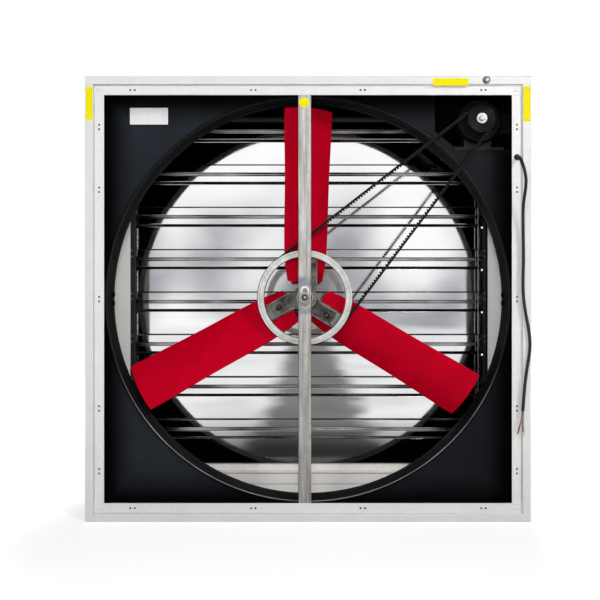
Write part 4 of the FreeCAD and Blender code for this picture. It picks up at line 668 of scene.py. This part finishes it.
def cogs_tree():
    """Sets cogs at an even pitch along a closed loop that lies in the XZ plane."""
    inputs = {"Pitch": "Float", "Cog": "Vector", "Finish": "Material"}
    nodes, names, entry = new_tree("cogs_on_loop", inputs)
    loop = nodes.run("GeometryNodeMeshToCurve", "Curve", Mesh=entry["Geometry"])
    even = nodes.run("GeometryNodeResampleCurve", "Curve", Curve=loop, Length=entry["Pitch"], mode="LENGTH")
    tangent = nodes.add("GeometryNodeInputTangent").outputs["Tangent"]
    turn = nodes.run("FunctionNodeAlignRotationToVector", "Rotation", Vector=tangent, axis="X",
                     pivot_axis="Y")
    cog = nodes.run("GeometryNodeMeshCube", "Mesh", Size=entry["Cog"])
    put = nodes.run("GeometryNodeInstanceOnPoints", "Instances", Points=even, Instance=cog, Rotation=turn)
    finish_tree(nodes, put, entry)
    return nodes.tree, names


HEADS = heads_tree()
COGS = cogs_tree()


def run_tree(carrier, tree_and_names, **settings):
    """Evaluate a tree on a carrier mesh and keep only the plain result."""
    tree, names = tree_and_names
    modifier = carrier.modifiers.new("repeat", "NODES")
    modifier.node_group = tree
    for label, value in settings.items():
        modifier[names[label]] = value
    mesh = baked(carrier)
    carrier.modifiers.remove(modifier)
    bpy.data.objects.remove(carrier)
    return mesh


def to_intake(points):
    """Places for heads that face the intake side."""
    return [(point, INTAKE_WAY) for point in points]


def put_heads(name, head_mesh, places, finish, body="frame", slot="bright_steel", stood_for=()):
    """One piece of many heads: each place is a point and the way its head faces."""
    marks = bpy.data.meshes.new(name + "_places")
    marks.from_pydata([point for point, way in places], [], [])
    facing = marks.attributes.new("facing", "FLOAT_VECTOR", "POINT")
    for index, (point, way) in enumerate(places):
        facing.data[index].vector = way
    head = new_piece(name + "_head", head_mesh)
    mesh = run_tree(new_piece(name + "_carrier", marks), HEADS, Head=head, Size=1.0, Finish=finish)
    bpy.data.objects.remove(head)
    smooth_by_angle(mesh, 40)
    return settle(new_piece(name, mesh), body, slot, *stood_for)


# Camera, light and stage

def add_camera():
    """Square-on, as far away and as long as the photograph's view."""
    camera = bpy.data.cameras.new("camera")
    camera.sensor_width = CAMERA_SENSOR
    camera.lens = CAMERA_LENS
    camera.shift_x = SHIFT_PIXELS / PICTURE_PIXELS
    camera.shift_y = SHIFT_UP
    holder = in_scene("camera", camera)
    holder.location = (0, FRONT_FACE - CAMERA_REACH, MIDDLE)
    holder.rotation_euler = (radians(90), 0, 0)
    bpy.context.scene.camera = holder


LAMP_TARGET = (0, -0.1, 0.72)
# Name, place, target, size, power, tone, and whether the mirrors show it
LAMPS = [
    ("key_right", (3.0, -4.6, 3.9), LAMP_TARGET, 1.6, 130, (1.0, 0.99, 0.975), True),
    ("key_left", (-2.4, -5.6, 2.9), LAMP_TARGET, 1.6, 82, (0.985, 0.99, 1.0), False),
    ("front_fill", (0.0, -2.75, 1.05), LAMP_TARGET, 0.4, 23, (1.0, 1.0, 1.0), False),
    ("back_above", (0.5, 3.4, 3.2), (0, 0.2, 0.7), 2.2, 118, (1.0, 1.0, 1.0), False),
]


def add_lamp(name, place, target, size, power, tone, mirrored):
    """A round area lamp that shines on a target."""
    lamp = bpy.data.lights.new(name, "AREA")
    lamp.shape = "DISK"
    lamp.size = size
    lamp.energy = power
    lamp.color = tone
    holder = in_scene(name, lamp)
    holder.location = place
    holder.rotation_euler = (Vector(target) - Vector(place)).to_track_quat("-Z", "Y").to_euler()
    holder.visible_glossy = mirrored


def pale_floor():
    """White where the camera sees it, with a soft shadow by the object; mirrors see it dark close by."""
    look = Finish("pale_floor", Roughness=0.9, Specular_IOR_Level=0.0, Emission_Color=(1, 1, 1))
    place = look.place()
    away = look.length(place)
    path = look.add("ShaderNodeLightPath").outputs
    base = look.tint(look.cloud(place, 1.5), (0.70, 0.70, 0.70), (0.74, 0.74, 0.74))
    look.feed(base, look.shader.inputs["Base Color"])
    glow = look.product(path["Is Camera Ray"], look.spread(away, 0.56, 1.0, 0.9, 2.2))
    look.feed(glow, look.shader.inputs["Emission Strength"])
    # To the mirrors the floor glows: a painted reflection, dark close by, in blotches, and along a dark lane
    # where a person standing in front would show.
    blotches = look.spread(look.cloud(place, 1.3, 2.0), 0.80, 1.0, 0.38, 0.54)
    off_lane = look.reckon("ABSOLUTE", look.reckon("SUBTRACT", look.split(place)["X"], 0.04))
    ragged = look.spread(look.cloud(place, 2.6, 3.0, 0.6), -0.07, 0.07, 0.35, 0.65)
    dark_lane = look.spread(look.reckon("ADD", off_lane, ragged), 0.24, 1.0, 0.25, 0.36)
    strength = look.product(blotches, dark_lane, look.spread(away, 0.12, 0.95, 0.7, 1.7))
    mirrored = look.run("ShaderNodeEmission", 0, Strength=strength)
    seen = look.blend(path["Is Glossy Ray"], look.shader.outputs[0], mirrored)
    look.feed(seen, look.tree.nodes["Material Output"].inputs[0])
    return look.material


def add_world():
    """A world that is white where it shows, and a room of pale and dim patches to the mirrors."""
    world = bpy.data.worlds.new("studio")
    bpy.context.scene.world = world
    world.use_nodes = True
    world.node_tree.nodes.clear()
    room = Nodes(world.node_tree)
    direction = room.add("ShaderNodeTexCoord").outputs["Generated"]
    way = room.split(direction)
    patches = room.cloud(direction, 7.0, 3.0, 0.55)
    whiter_above = room.spread(way["Z"], 0.0, 0.95, 0.07, 0.13)
    pale = room.reckon("MAXIMUM", room.spread(patches, 0.0, 1.0, 0.41, 0.61), whiter_above)
    wall = room.tint(pale, (0.34, 0.35, 0.38), (1.0, 1.0, 1.0))
    squares = room.reckon("ADD", room.reckon("POWER", way["X"], 2.0), room.reckon("POWER", way["Z"], 2.0))
    off_middle = room.reckon("SQRT", squares)
    around = room.reckon("ADD", off_middle, room.spread(patches, -0.05, 0.05, 0.35, 0.6))
    wall = room.tint(room.spread(around, 0.5, 0.0, 0.05, 0.2), wall, (0.32, 0.325, 0.345))
    close = room.reckon("ADD", off_middle, room.spread(patches, -0.03, 0.03, 0.3, 0.6))
    wall = room.tint(room.spread(close, 1.0, 0.0, 0.035, 0.055), wall, (0.16, 0.15, 0.155))
    steep = room.spread(room.reckon("ABSOLUTE", way["Z"]), 0.0, 1.0, 0.26, 0.5)
    mirrored = room.background(room.tint(steep, wall, (0.06, 0.062, 0.066)), 1.1)
    ambient = room.background((0.97, 0.985, 1.0), 0.14)
    white = room.background((1, 1, 1), 1.0)
    path = room.add("ShaderNodeLightPath").outputs
    lit = room.blend(path["Is Glossy Ray"], ambient, mirrored)
    shown = room.reckon("MAXIMUM", path["Is Camera Ray"], path["Is Transmission Ray"])
    room.feed(room.blend(shown, lit, white), room.add("ShaderNodeOutputWorld").inputs[0])


def add_stage():
    """A white studio: its world, a pale floor that keeps the shadow, and four lamps."""
    add_world()
    reach = 16.0
    mesh = bpy.data.meshes.new("floor")
    corners = [(-reach, -reach, 0), (reach, -reach, 0), (reach, reach, 0), (-reach, reach, 0)]
    mesh.from_pydata(corners, [], [(0, 1, 2, 3)])
    new_piece("floor", mesh, pale_floor())
    for lamp in LAMPS:
        add_lamp(*lamp)


# Cord, its routes and radii in millimetres

CORD_RADIUS = 4.75
CORE_RADIUS = 1.3
CORD_ROUTE = [
    (649.5, -184, 1131), (649.5, -207, 1131), (648, -231, 1121.5), (649.5, -249, 1103.5),
    (654.5, -258.5, 1079.5), (658.8, -259, 1053.5), (659.7, -251.5, 1027), (658.7, -238.5, 1000),
    (658.8, -226, 973), (660.7, -216, 943), (662.7, -210, 910), (664, -207.5, 873), (665, -207.2, 811),
    (663.4, -207.4, 767), (662.6, -207.8, 723), (666, -208.2, 678), (673.2, -208.6, 634),
    (681, -208.6, 595), (685.4, -208.4, 556), (683, -208, 518), (675.6, -207.6, 478),
    (670, -207.2, 436), (666, -207, 391), (662.5, -207.5, 345),
]
CORE_ROUTES = [
    [(660.9, -209, 344.4), (659.6, -209.6, 328), (655.5, -209.3, 311),
     (649.5, -208.2, 293), (645, -207.6, 273)],
    [(660.9, -206, 344.3), (659.9, -205.7, 327), (656.6, -205.6, 309),
     (652.4, -205.9, 292), (649.6, -206.4, 276)],
    [(663.9, -206, 344.5), (664.2, -205.5, 328), (665.6, -205.6, 309),
     (665.6, -206.4, 290), (667.4, -207, 270)],
    [(663.9, -209, 344.6), (663.2, -209.8, 329), (661.4, -210.2, 312),
     (661.6, -209.9, 296), (663, -209.4, 281)],
]


def round_line(name, route, radius, finish):
    """A smooth round line through the route's control points."""
    curve = bpy.data.curves.new(name, "CURVE")
    curve.dimensions = "3D"
    curve.bevel_depth = radius * MM
    curve.bevel_resolution = 5
    curve.use_fill_caps = True
    curve.resolution_u = 10
    spline = curve.splines.new("NURBS")
    spline.points.add(len(route) - 1)
    for point, place in zip(spline.points, route):
        point.co = (*(Vector(place) * MM), 1.0)
    spline.order_u = 3
    spline.use_endpoint_u = True
    curve.materials.append(finish)
    return in_scene(name, curve)


def add_cord():
    """The hanging power cord, and the four cores that it ends in."""
    jacket = round_line("hanging_cord", CORD_ROUTE, CORD_RADIUS, JACKET)
    settle(jacket, "frame", "black_rubber", "power_cord")
    for index, (route, finish) in enumerate(zip(CORE_ROUTES, CORE_FINISHES)):
        core = round_line(f"bare_core_{index + 1}", route, CORE_RADIUS, finish)
        settle(core, "frame", "core_plastic")
    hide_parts("cord_cores")
    rounded_solid("cord_grommet", JACKET, 0.6)


# Casing, strips, panel and ring

def faces_inside(face):
    """A wall face that looks into the casing."""
    inward = Vector((-face.center.x, 0, MIDDLE - face.center.z)).normalized()
    looks_in = face.normal.dot(inward) > 0.6
    along_wall = abs(face.normal.y) < 0.3
    large = face.area > 0.1
    return looks_in and along_wall and large


def add_casing():
    """The galvanised casing and strips, with the rear frame, rivets and bolts; the casing's inner walls and
    the rear frame's top member, all but its back, are black as painted shade.
    """
    rivet_reaches = (0.645, 0.654)
    behind_strips = -0.15
    band_low = 1.35
    shelf_bolt_height = 1.109
    shelf_bolt_depths = (-0.065, 0.055)
    band_washer_face = FRONT_FACE - 0.0055
    band_bolt_across, band_bolt_height = 0.552, 1.3675
    for side in ("top", "bottom", "left", "right"):
        # Painted shade: the casing's inner walls take black paint, as if in shadow.
        refinish(folded_sheet("casing_" + side, ZINC), RING_BLACK, faces_inside)
        folded_sheet("front_strip_" + side, ZINC_STRIP)
        rear = folded_sheet("rear_frame_" + side, ZINC_CREAM)
        if side in ("left", "right"):
            refinish(rear, RING_BLACK, lambda face: abs(face.normal.x) > 0.9)
        if side == "top":
            # Painted shade: the top member is black, as if in the shadow of the casing's top.
            refinish(rear, RING_BLACK, lambda face: face.normal.y < 0.5)
    folded_sheet("sill_stop", ZINC_CREAM)
    corners = [(across * reach, STRIP_FACE, MIDDLE + up * STRIP_MIDDLE)
               for across in (-1, 1) for up in (-1, 1) for reach in rivet_reaches]
    rivet = dome_head("rivet_head", radius=0.0056, height=0.0024)
    put_heads("corner_rivets", rivet, to_intake(corners), ZINC_STRIP, stood_for=("strip_rivets",))
    bolts = rounded_solid("frame_bolts", PLATED, 0.8)
    refinish(bolts, MOTOR_BLACK, lambda face: face.center.y > behind_strips)
    refinish(bolts, DULL_STEEL, lambda face: face.center.y < FRONT_FACE and face.center.z > band_low)
    shelf_bolts = [((CASING_SIDE, depth, shelf_bolt_height), (1, 0, 0)) for depth in shelf_bolt_depths]
    shelf_head = dome_head("shelf_bolt_head", radius=0.0095, height=0.0042)
    put_heads("shelf_bolt_heads", shelf_head, shelf_bolts, PLATED)
    band_bolt = to_intake([(band_bolt_across, band_washer_face, band_bolt_height)])
    band_head = dome_head("band_dome", radius=0.0068, height=0.0042, rim=0.4)
    put_heads("band_bolt_dome", band_head, band_bolt, PLATED)
    add_hole_rims()


def add_hole_rims():
    """Black rings round the guard holes, which stand in pairs along the strips: painted shade that makes the
    dark holes show larger.
    """
    half_pair = 0.007
    level_groups = (-0.545, -0.170, 0.170, 0.545)
    upright_groups = (-0.535, -0.340, 0, 0.340, 0.535)
    spots = []
    for side in (-1, 1):
        for nudge in (-half_pair, half_pair):
            for along in level_groups:
                spots.append((along + nudge, STRIP_FACE, MIDDLE + side * STRIP_MIDDLE))
            for along in upright_groups:
                spots.append((side * STRIP_MIDDLE, BAR_FACE, MIDDLE + along + nudge))
    rim = lathe([(0.0020, 0), (0.0031, 0), (0.0028, 0.0003), (0.0020, 0.0002), (0.0020, 0)], 16, "hole_rim")
    put_heads("hole_rims", rim, to_intake(spots), MOTOR_BLACK, slot="galvanised")


def ring_tube(name, finish, radius, tube, depth):
    """A round tube bent into a ring about the panel's hole."""
    turns = [radians(30 * step) for step in range(13)]
    section = [(radius + tube * cos(turn), tube * sin(turn)) for turn in turns]
    mesh = lathe(section, 240, name)
    mesh.transform(Matrix.Translation((0, depth, MIDDLE)) @ Matrix.Rotation(radians(-90), 4, "X"))
    smooth_by_angle(mesh, 60)
    settle(new_piece(name, mesh, finish), "frame", "black_paint")


def add_venturi():
    """The black panel, its ring in two halves, and the ring's front bead, thin rear lip and two ribs."""
    panel = rounded_solid("venturi_panel", PANEL_BLACK, 0.4)
    refinish(panel, RING_BLACK, lambda face: face.normal.y > 0.5)
    for half in ("upper", "lower"):
        rounded_solid("venturi_ring_" + half, RING_BLACK, 0.6, smooth=30)
    rounded_solid("ring_splices", RING_BLACK, 0.8)
    ring_tube("ring_bead", BEAD_BLACK, radius=0.647, tube=0.0053, depth=-0.1153)
    ring_tube("ring_hem", RING_BLACK, radius=0.6433, tube=0.0017, depth=-0.0253)
    ring_tube("ring_rib_1", MOTOR_BLACK, radius=0.6418, tube=0.0017, depth=-0.098)
    ring_tube("ring_rib_2", MOTOR_BLACK, radius=0.6418, tube=0.0017, depth=-0.062)


# Fan

def blade_place(across, out, towards, turn):
    """A place on a blade's root: along its chord, out from the axis and towards the intake."""
    local = Vector((across * cos(BLADE_PITCH) + towards * sin(BLADE_PITCH),
                    BLADE_PLANE + across * sin(BLADE_PITCH) - towards * cos(BLADE_PITCH), out))
    return FAN_AXIS + Matrix.Rotation(radians(turn), 3, "Y") @ local


def blade_facing(turn):
    """The way a blade's root faces on its intake side."""
    local = Vector((sin(BLADE_PITCH), -cos(BLADE_PITCH), 0))
    return Matrix.Rotation(radians(turn), 3, "Y") @ local


def add_blades():
    """Three red blades with their clamps, dome nuts and bolt heads."""
    bolt_out = 0.089
    nut_seat = 0.0225
    head_seat = -0.0015
    for index in (1, 2, 3):
        rounded_solid(f"blade_{index}", RED, 1.2, 3, 50)
    rounded_solid("blade_clamps", PLATED, 0.8)
    nuts = [(blade_place(0, bolt_out, nut_seat, turn), blade_facing(turn)) for turn in BLADE_TURNS]
    heads = [(blade_place(0, bolt_out, head_seat, turn), -blade_facing(turn)) for turn in BLADE_TURNS]
    dome = hexagon_head("dome_nut", radius=0.0095, height=0.008, washer_radius=0.0115, washer_height=0.0018,
                        dome_radius=0.0068, dome_height=0.0062)
    put_heads("blade_dome_nuts", dome, nuts, DULL_STEEL, "fan", stood_for=("blade_bolts",))
    plain = hexagon_head("bolt_head", radius=0.0095, height=0.006, washer_radius=0.0112, washer_height=0.0016)
    put_heads("blade_bolt_heads", plain, heads, PLATED, "fan")


def add_fan_pulley():
    """The casting with a machined rim and dull arms, and the folded lips along the arms, painted lighter as a
    highlight.
    """
    rim_inside = 0.1265
    lip_sides = (25.3, 28.4)
    lip_seat = 22.4
    # How far out from the axis each end of a lip lies, and how far its edge stands towards the intake
    lip_ends = ((44, 29.5), (124, 27.0))
    piece = rounded_solid("fan_pulley", ARM, 1.0, 2, 35)
    away = [Vector((vertex.co.x - FAN_AXIS.x, 0, vertex.co.z - FAN_AXIS.z)).length
            for vertex in piece.data.vertices]
    refinish(piece, RIM, lambda face: min(away[index] for index in face.vertices) > rim_inside)
    shape = bmesh.new()
    for turn in BLADE_TURNS:
        for side in (-1, 1):
            hull_of(shape, [blade_place(side * across * MM, out * MM, towards * MM, turn)
                            for across in lip_sides
                            for out, edge in lip_ends
                            for towards in (lip_seat, edge)])
    trim("arm_lips", shape, ARM_HIGHLIT, "cast_pulley", "fan", 1.0, 40)


# Name, width, height, corner, thickness, finish, and how far right of and above the axle it lies
SLOT_PLATES = [
    ("slot_plate", 0.031, 0.070, 0.0153, 0.0012, GROUND, 0, 0.006),
    ("slot_strap", 0.027, 0.047, 0.0132, 0.0022, ZINC, 0, 0.0135),
    ("slot_dish", 0.0165, 0.026, 0.008, 0.0026, GROUND, 0.001, 0.0165),
]


def add_hub():
    """The upright bar, and the axle with the plates, washer and nut that hold it in the bar's slot."""
    washer = 0.0031
    axle_end = -0.2035
    folded_sheet("centre_bar", TUBE, 4.5, 5)
    for *plate, across, up in SLOT_PLATES:
        rounded_film(*plate, Vector((FAN_AXIS.x + across, BAR_FACE, FAN_AXIS.z + up)), slot="bright_steel")
    rounded_solid("axle", RUST_TINGED, 0.6)
    nuts = rounded_solid("axle_nuts", GROUND, 0.8)
    refinish(nuts, PLATED, lambda face: BAR_FACE - washer < face.center.y < BAR_FACE)
    put_heads("axle_end_centre", dome_head("axle_centre", radius=0.0036, height=0.0009),
              to_intake([(FAN_AXIS.x, axle_end, FAN_AXIS.z)]), PLATED)
    for node in ("bearing_inner_races", "bearing_outer_races", "bearing_balls"):
        rounded_solid(node, PLATED, 0.2)


# Drive

def belt_loop(inset, step=0.004):
    """Points round the belt at a depth below its outer face, evenly on its two arcs and two runs."""
    small = BELT_AT_MOTOR - inset
    large = BELT_AT_FAN - inset
    reach = MOTOR_AXIS - FAN_AXIS
    spacing = reach.length
    ahead = reach / spacing
    aside = Vector((-ahead.z, 0, ahead.x))
    lean = asin((BELT_AT_FAN - BELT_AT_MOTOR) / spacing)
    points = []

    def arc(centre, radius, start, end):
        """Add points along a part of a circle."""
        count = max(8, int(abs(end - start) * radius / step))
        for i in range(count):
            angle = start + (end - start) * i / count
            points.append(centre + (ahead * cos(angle) + aside * sin(angle)) * radius)

    def run(start, end):
        """Add points along a straight run."""
        count = int((end - start).length / step)
        points.extend(start.lerp(end, i / count) for i in range(count))

    touch = pi / 2 - lean
    upper = ahead * cos(touch) + aside * sin(touch)
    lower = ahead * cos(touch) - aside * sin(touch)
    arc(FAN_AXIS, large, 2 * pi - touch, touch)
    run(FAN_AXIS + upper * large, MOTOR_AXIS + upper * small)
    arc(MOTOR_AXIS, small, touch, -touch)
    run(MOTOR_AXIS + lower * small, FAN_AXIS + lower * large)
    return [Vector((point.x, BELT_PLANE, point.z)) for point in points]


# Depth below the outer face and place across, in millimetres, round the belt's section
BELT_SECTION = [
    (-1.6, -6.3), (-2.1, -5.8), (-2.1, -2.6), (-1.6, -2.1), (-1.6, -1.5), (-2.1, -1.0), (-2.1, 1.0),
    (-1.6, 1.5), (-1.6, 2.1), (-2.1, 2.6), (-2.1, 5.8), (-1.6, 6.3), (4.4, 4.8), (4.4, -4.8),
]
COG_DEPTH = 0.0063
COG_PITCH = 0.0104
COG_SIZE = (0.0056, 0.0066, 0.0046)


def add_belt():
    """A cogged V-belt: a smooth back with two grooves, and cogs set along its inner side."""
    loops = {depth: belt_loop(depth * MM) for depth in sorted({depth for depth, across in BELT_SECTION})}
    shape = bmesh.new()
    rows = [[shape.verts.new(point + Vector((0, across * MM, 0))) for point in loops[depth]]
            for depth, across in BELT_SECTION]
    count = min(len(row) for row in rows)
    rows = [[row[int(j * len(row) / count)] for j in range(count)] for row in rows]
    skin(shape, rows + rows[:1], ends=False)
    loose = [vert for vert in shape.verts if not vert.link_faces]
    bmesh.ops.delete(shape, geom=loose, context="VERTS")
    back = mesh_of("belt_back", shape)
    smooth_by_angle(back, 40)
    settle(new_piece("belt_back", back, BELT), "frame", "black_rubber", "v_belt")
    line = belt_loop(COG_DEPTH)
    marks = bpy.data.meshes.new("cog_line")
    marks.from_pydata(line, [(i, (i + 1) % len(line)) for i in range(len(line))], [])
    cogs = run_tree(new_piece("belt_cogs_carrier", marks), COGS, Pitch=COG_PITCH, Cog=COG_SIZE, Finish=BELT)
    settle(new_piece("belt_cogs", cogs), "frame", "black_rubber")


def add_motor():
    """The black motor with its grey feet, shelf, pulley and the end shield's screws."""
    feet_below = 0.055
    screw_circle = 0.0595
    shield_face = -0.1035
    for node in ("cowl", "terminal_box", "shelf"):
        rounded_solid("motor_" + node, MOTOR_BLACK, 0.8)
    housing = rounded_solid("motor_housing", MOTOR_BLACK, 0.8)
    refinish(housing, FOOT_GREY, lambda face: face.center.z < MOTOR_AXIS.z - feet_below)
    rounded_solid("motor_end_shields", TURNED_BLACK, 0.8)
    rounded_solid("motor_pulley", TURNED_BLACK, 1.0)
    rounded_solid("motor_shaft", GROUND, 0.5)
    rounded_solid("motor_pulley_bolt", PLATED, 1.2, 3)
    turns = [radians(degrees) for degrees in (45, 135, 225, 315)]
    spots = [MOTOR_AXIS + Vector((screw_circle * cos(turn), shield_face, screw_circle * sin(turn)))
             for turn in turns]
    screw = hexagon_head("shield_screw", radius=0.0048, height=0.0036, washer_radius=0.0056,
                         washer_height=0.001)
    put_heads("shield_screws", screw, to_intake(spots), MOTOR_BLACK, slot="black_paint")


def add_motor_box():
    """The black sheet box behind the motor window, put there as painted shade: it blocks the light and shows
    black through the window.
    """
    panel_gauge = 0.0019
    front = PANEL_FACE + panel_gauge
    back = 0.1155
    left, bend, right = 0.400, 0.486, CASING_INNER
    top, shoulder, low = 1.3780, 1.2290, 1.1570
    path = [(left, top), (left, shoulder), (bend, low), (right, low)]
    inner = [(left + SHEET, top), (left + SHEET, shoulder + 0.5 * SHEET), (bend + 0.5 * SHEET, low + SHEET),
             (right, low + SHEET)]
    shape = bmesh.new()
    for start in range(len(path) - 1):
        corners = [path[start], path[start + 1], inner[start + 1], inner[start]]
        hull_of(shape, [(x, y, z) for x, z in corners for y in (front, back)])
    hull_of(shape, [(x, y, z) for x, z in path + [(right, top)] for y in (back - SHEET, back)])
    trim("motor_box", shape, RING_BLACK, "black_paint")


# Shutter

def louvre_pivot(index):
    """The height of a louvre's pivots."""
    return FIRST_PIVOT - LOUVRE_PITCH * (index - 1)


def add_louvre_ends(index):
    """The thin flanges turned in at both ends of a louvre's flat, with a round lower corner; the flanges take
    the darkened steel as painted shade.
    """
    drop_to_top, drop_to_low = 0.062, 0.158
    top = louvre_pivot(index) - drop_to_top
    low = louvre_pivot(index) - drop_to_low
    flat = 0.1665
    deep = 0.0085
    corner = 0.007
    flange_sides = (0.6076, 0.6064)
    flange_reach = 0.610
    lap_across = (0.6130, 0.6245)
    lap_depth = (0.1676, 0.1684)
    outline = [(flat, top), (flat - deep, top)]
    for step in range(6):
        angle = radians(18 * step)
        outline.append((flat - deep + corner * (1 - cos(angle)), low + corner * (1 - sin(angle))))
    outline.append((flat, low))
    shape = bmesh.new()
    for side in (-1, 1):
        skin(shape, [[shape.verts.new((side * across, y, z)) for y, z in outline] for across in flange_sides])
        box_of(shape, (side * lap_across[0], lap_depth[0], low), (side * lap_across[1], lap_depth[1], top))
    piece = new_piece(f"louvre_ends_{index}", mesh_of("louvre_ends", shape), MIRROR)
    refinish(piece, SHADED_FOLD, lambda face: abs(face.center.x) < flange_reach)
    settle(piece, f"louvre_{index}_body", "mirror_steel")


def add_louvre_curl(index):
    """The sheet's curled upper edge, which shows as a dark line along the top of a mirror louvre: it takes
    the darkened steel as painted shade.
    """
    sheet_face = 0.1595
    rise = 0.010
    curl = 0.0055
    thick = 0.0009
    sweep = 95
    steps = 12
    ends = (-0.604, 0.595)
    centre_y = sheet_face + curl
    top = louvre_pivot(index) + rise
    outline = []
    for radius, ways in ((curl, range(steps + 1)), (curl - thick, range(steps, -1, -1))):
        for step in ways:
            angle = radians(180 - sweep * step / steps)
            outline.append((centre_y + radius * cos(angle), top + radius * sin(angle)))
    shape = bmesh.new()
    skin(shape, [[shape.verts.new((end, y, z)) for y, z in outline] for end in ends])
    mesh = mesh_of(f"louvre_curl_{index}", shape)
    smooth_by_angle(mesh, 40)
    settle(new_piece(f"louvre_curl_{index}", mesh, SHADED_FOLD), f"louvre_{index}_body", "mirror_steel")


def add_covers():
    """Sheets with a folded edge, in the brightened cream zinc as painted light: one closes each jamb, and two
    with a thin joint close the sill.
    """
    low, high = 0.0865, 1.3215
    inner_edges = ((-1, 0.6215), (1, 0.6285))
    sill_heights = ((0.0022, 0.0432), (0.0452, 0.0792))
    behind = COVER_FACE + SHEET
    folded = COVER_FACE + COVER_FOLD
    jambs = bmesh.new()
    for side, inner in inner_edges:
        box_of(jambs, (side * inner, COVER_FACE, low), (side * CASING_INNER, behind, high))
        box_of(jambs, (side * inner, behind, low), (side * (inner + SHEET), folded, high))
    trim("jamb_covers", jambs, JAMB_BRIGHTENED, "galvanised")
    sill = bmesh.new()
    for low, high in sill_heights:
        box_of(sill, (-CASING_INNER, COVER_FACE, low), (CASING_INNER, behind, high))
        box_of(sill, (-CASING_INNER, behind, high - SHEET), (CASING_INNER, folded, high))
    trim("sill_covers", sill, JAMB_BRIGHTENED, "galvanised")


def add_jamb_stops():
    """Black stops that the louvres' ends close against, each riveted at the height of every pivot."""
    face, back = 0.1410, 0.1500
    thick = 0.0025
    low, high = 0.0845, 1.3235
    edges = ((-0.607, -0.6276), (0.617, 0.6276))
    rivets_across = (-0.6215, 0.6225)
    rivets_by_pivot = (-0.012, 0.008)
    shape = bmesh.new()
    for inner, outer in edges:
        box_of(shape, (inner, face, low), (outer, face + thick, high))
        box_of(shape, (outer - copysign(thick, outer), face + thick, low), (outer, back, high))
    trim("jamb_stops", shape, NYLON, "nylon", round_edge=0.5)
    spots = [(across, face, louvre_pivot(index) + up)
             for across in rivets_across for index in LOUVRES for up in rivets_by_pivot]
    put_heads("jamb_rivets", dome_head("jamb_rivet", radius=0.0030, height=0.0018), to_intake(spots), GROUND)


def add_shutter():
    """Mirror louvres on black pivots, their link, and the stops and covers at their edges."""
    for index in LOUVRES:
        louvre = folded_sheet(f"louvre_{index}", MIRROR, 1.2)
        # Painted shade: the folds that look down take the darkened steel.
        refinish(louvre, SHADED_FOLD, lambda face: face.normal.z < -0.3 and face.normal.y < -0.1)
        add_louvre_curl(index)
        rounded_solid(f"louvre_pivots_{index}", NYLON, 0.5)
        add_louvre_ends(index)
    rounded_solid("louvre_link", GROUND, 0.3)
    add_covers()
    add_jamb_stops()


# Blank films and plate

FILM_THICK = 0.0003
FILM_CORNER = 0.0012
# Name, width, height, corner, thickness, finish and place, and the slot where it isn't the casing's
FILMS = [
    ("film_left", 0.02166, 0.10210, FILM_CORNER, FILM_THICK, YELLOW, (-0.67698, FRONT_FACE, 1.29520)),
    ("film_right", 0.02197, 0.10829, FILM_CORNER, FILM_THICK, YELLOW, (0.67729, FRONT_FACE, 1.29365)),
    ("film_top", 0.10984, 0.02290, FILM_CORNER, FILM_THICK, YELLOW, (0.44152, FRONT_FACE, 1.36172)),
    ("film_bar", 0.03094, 0.03094, 0.0154, FILM_THICK, YELLOW, (-0.01243, BAR_FACE, 1.30115)),
    ("blank_plate", 0.12189, 0.05325, 0.0015, 0.0008, WHITE_PLATE, (-0.51003, PANEL_FACE, 1.27637),
     "black_paint"),
]


def add_blank_films():
    """Blank yellow films on the front and a blank white plate on the panel."""
    for film in FILMS:
        rounded_film(*film)


add_camera()
add_stage()
add_cord()
add_casing()
add_venturi()
add_blades()
add_fan_pulley()
add_hub()
add_belt()
add_motor()
add_motor_box()
add_shutter()
add_blank_films()

bpy.context.scene.view_settings.view_transform = "Standard"
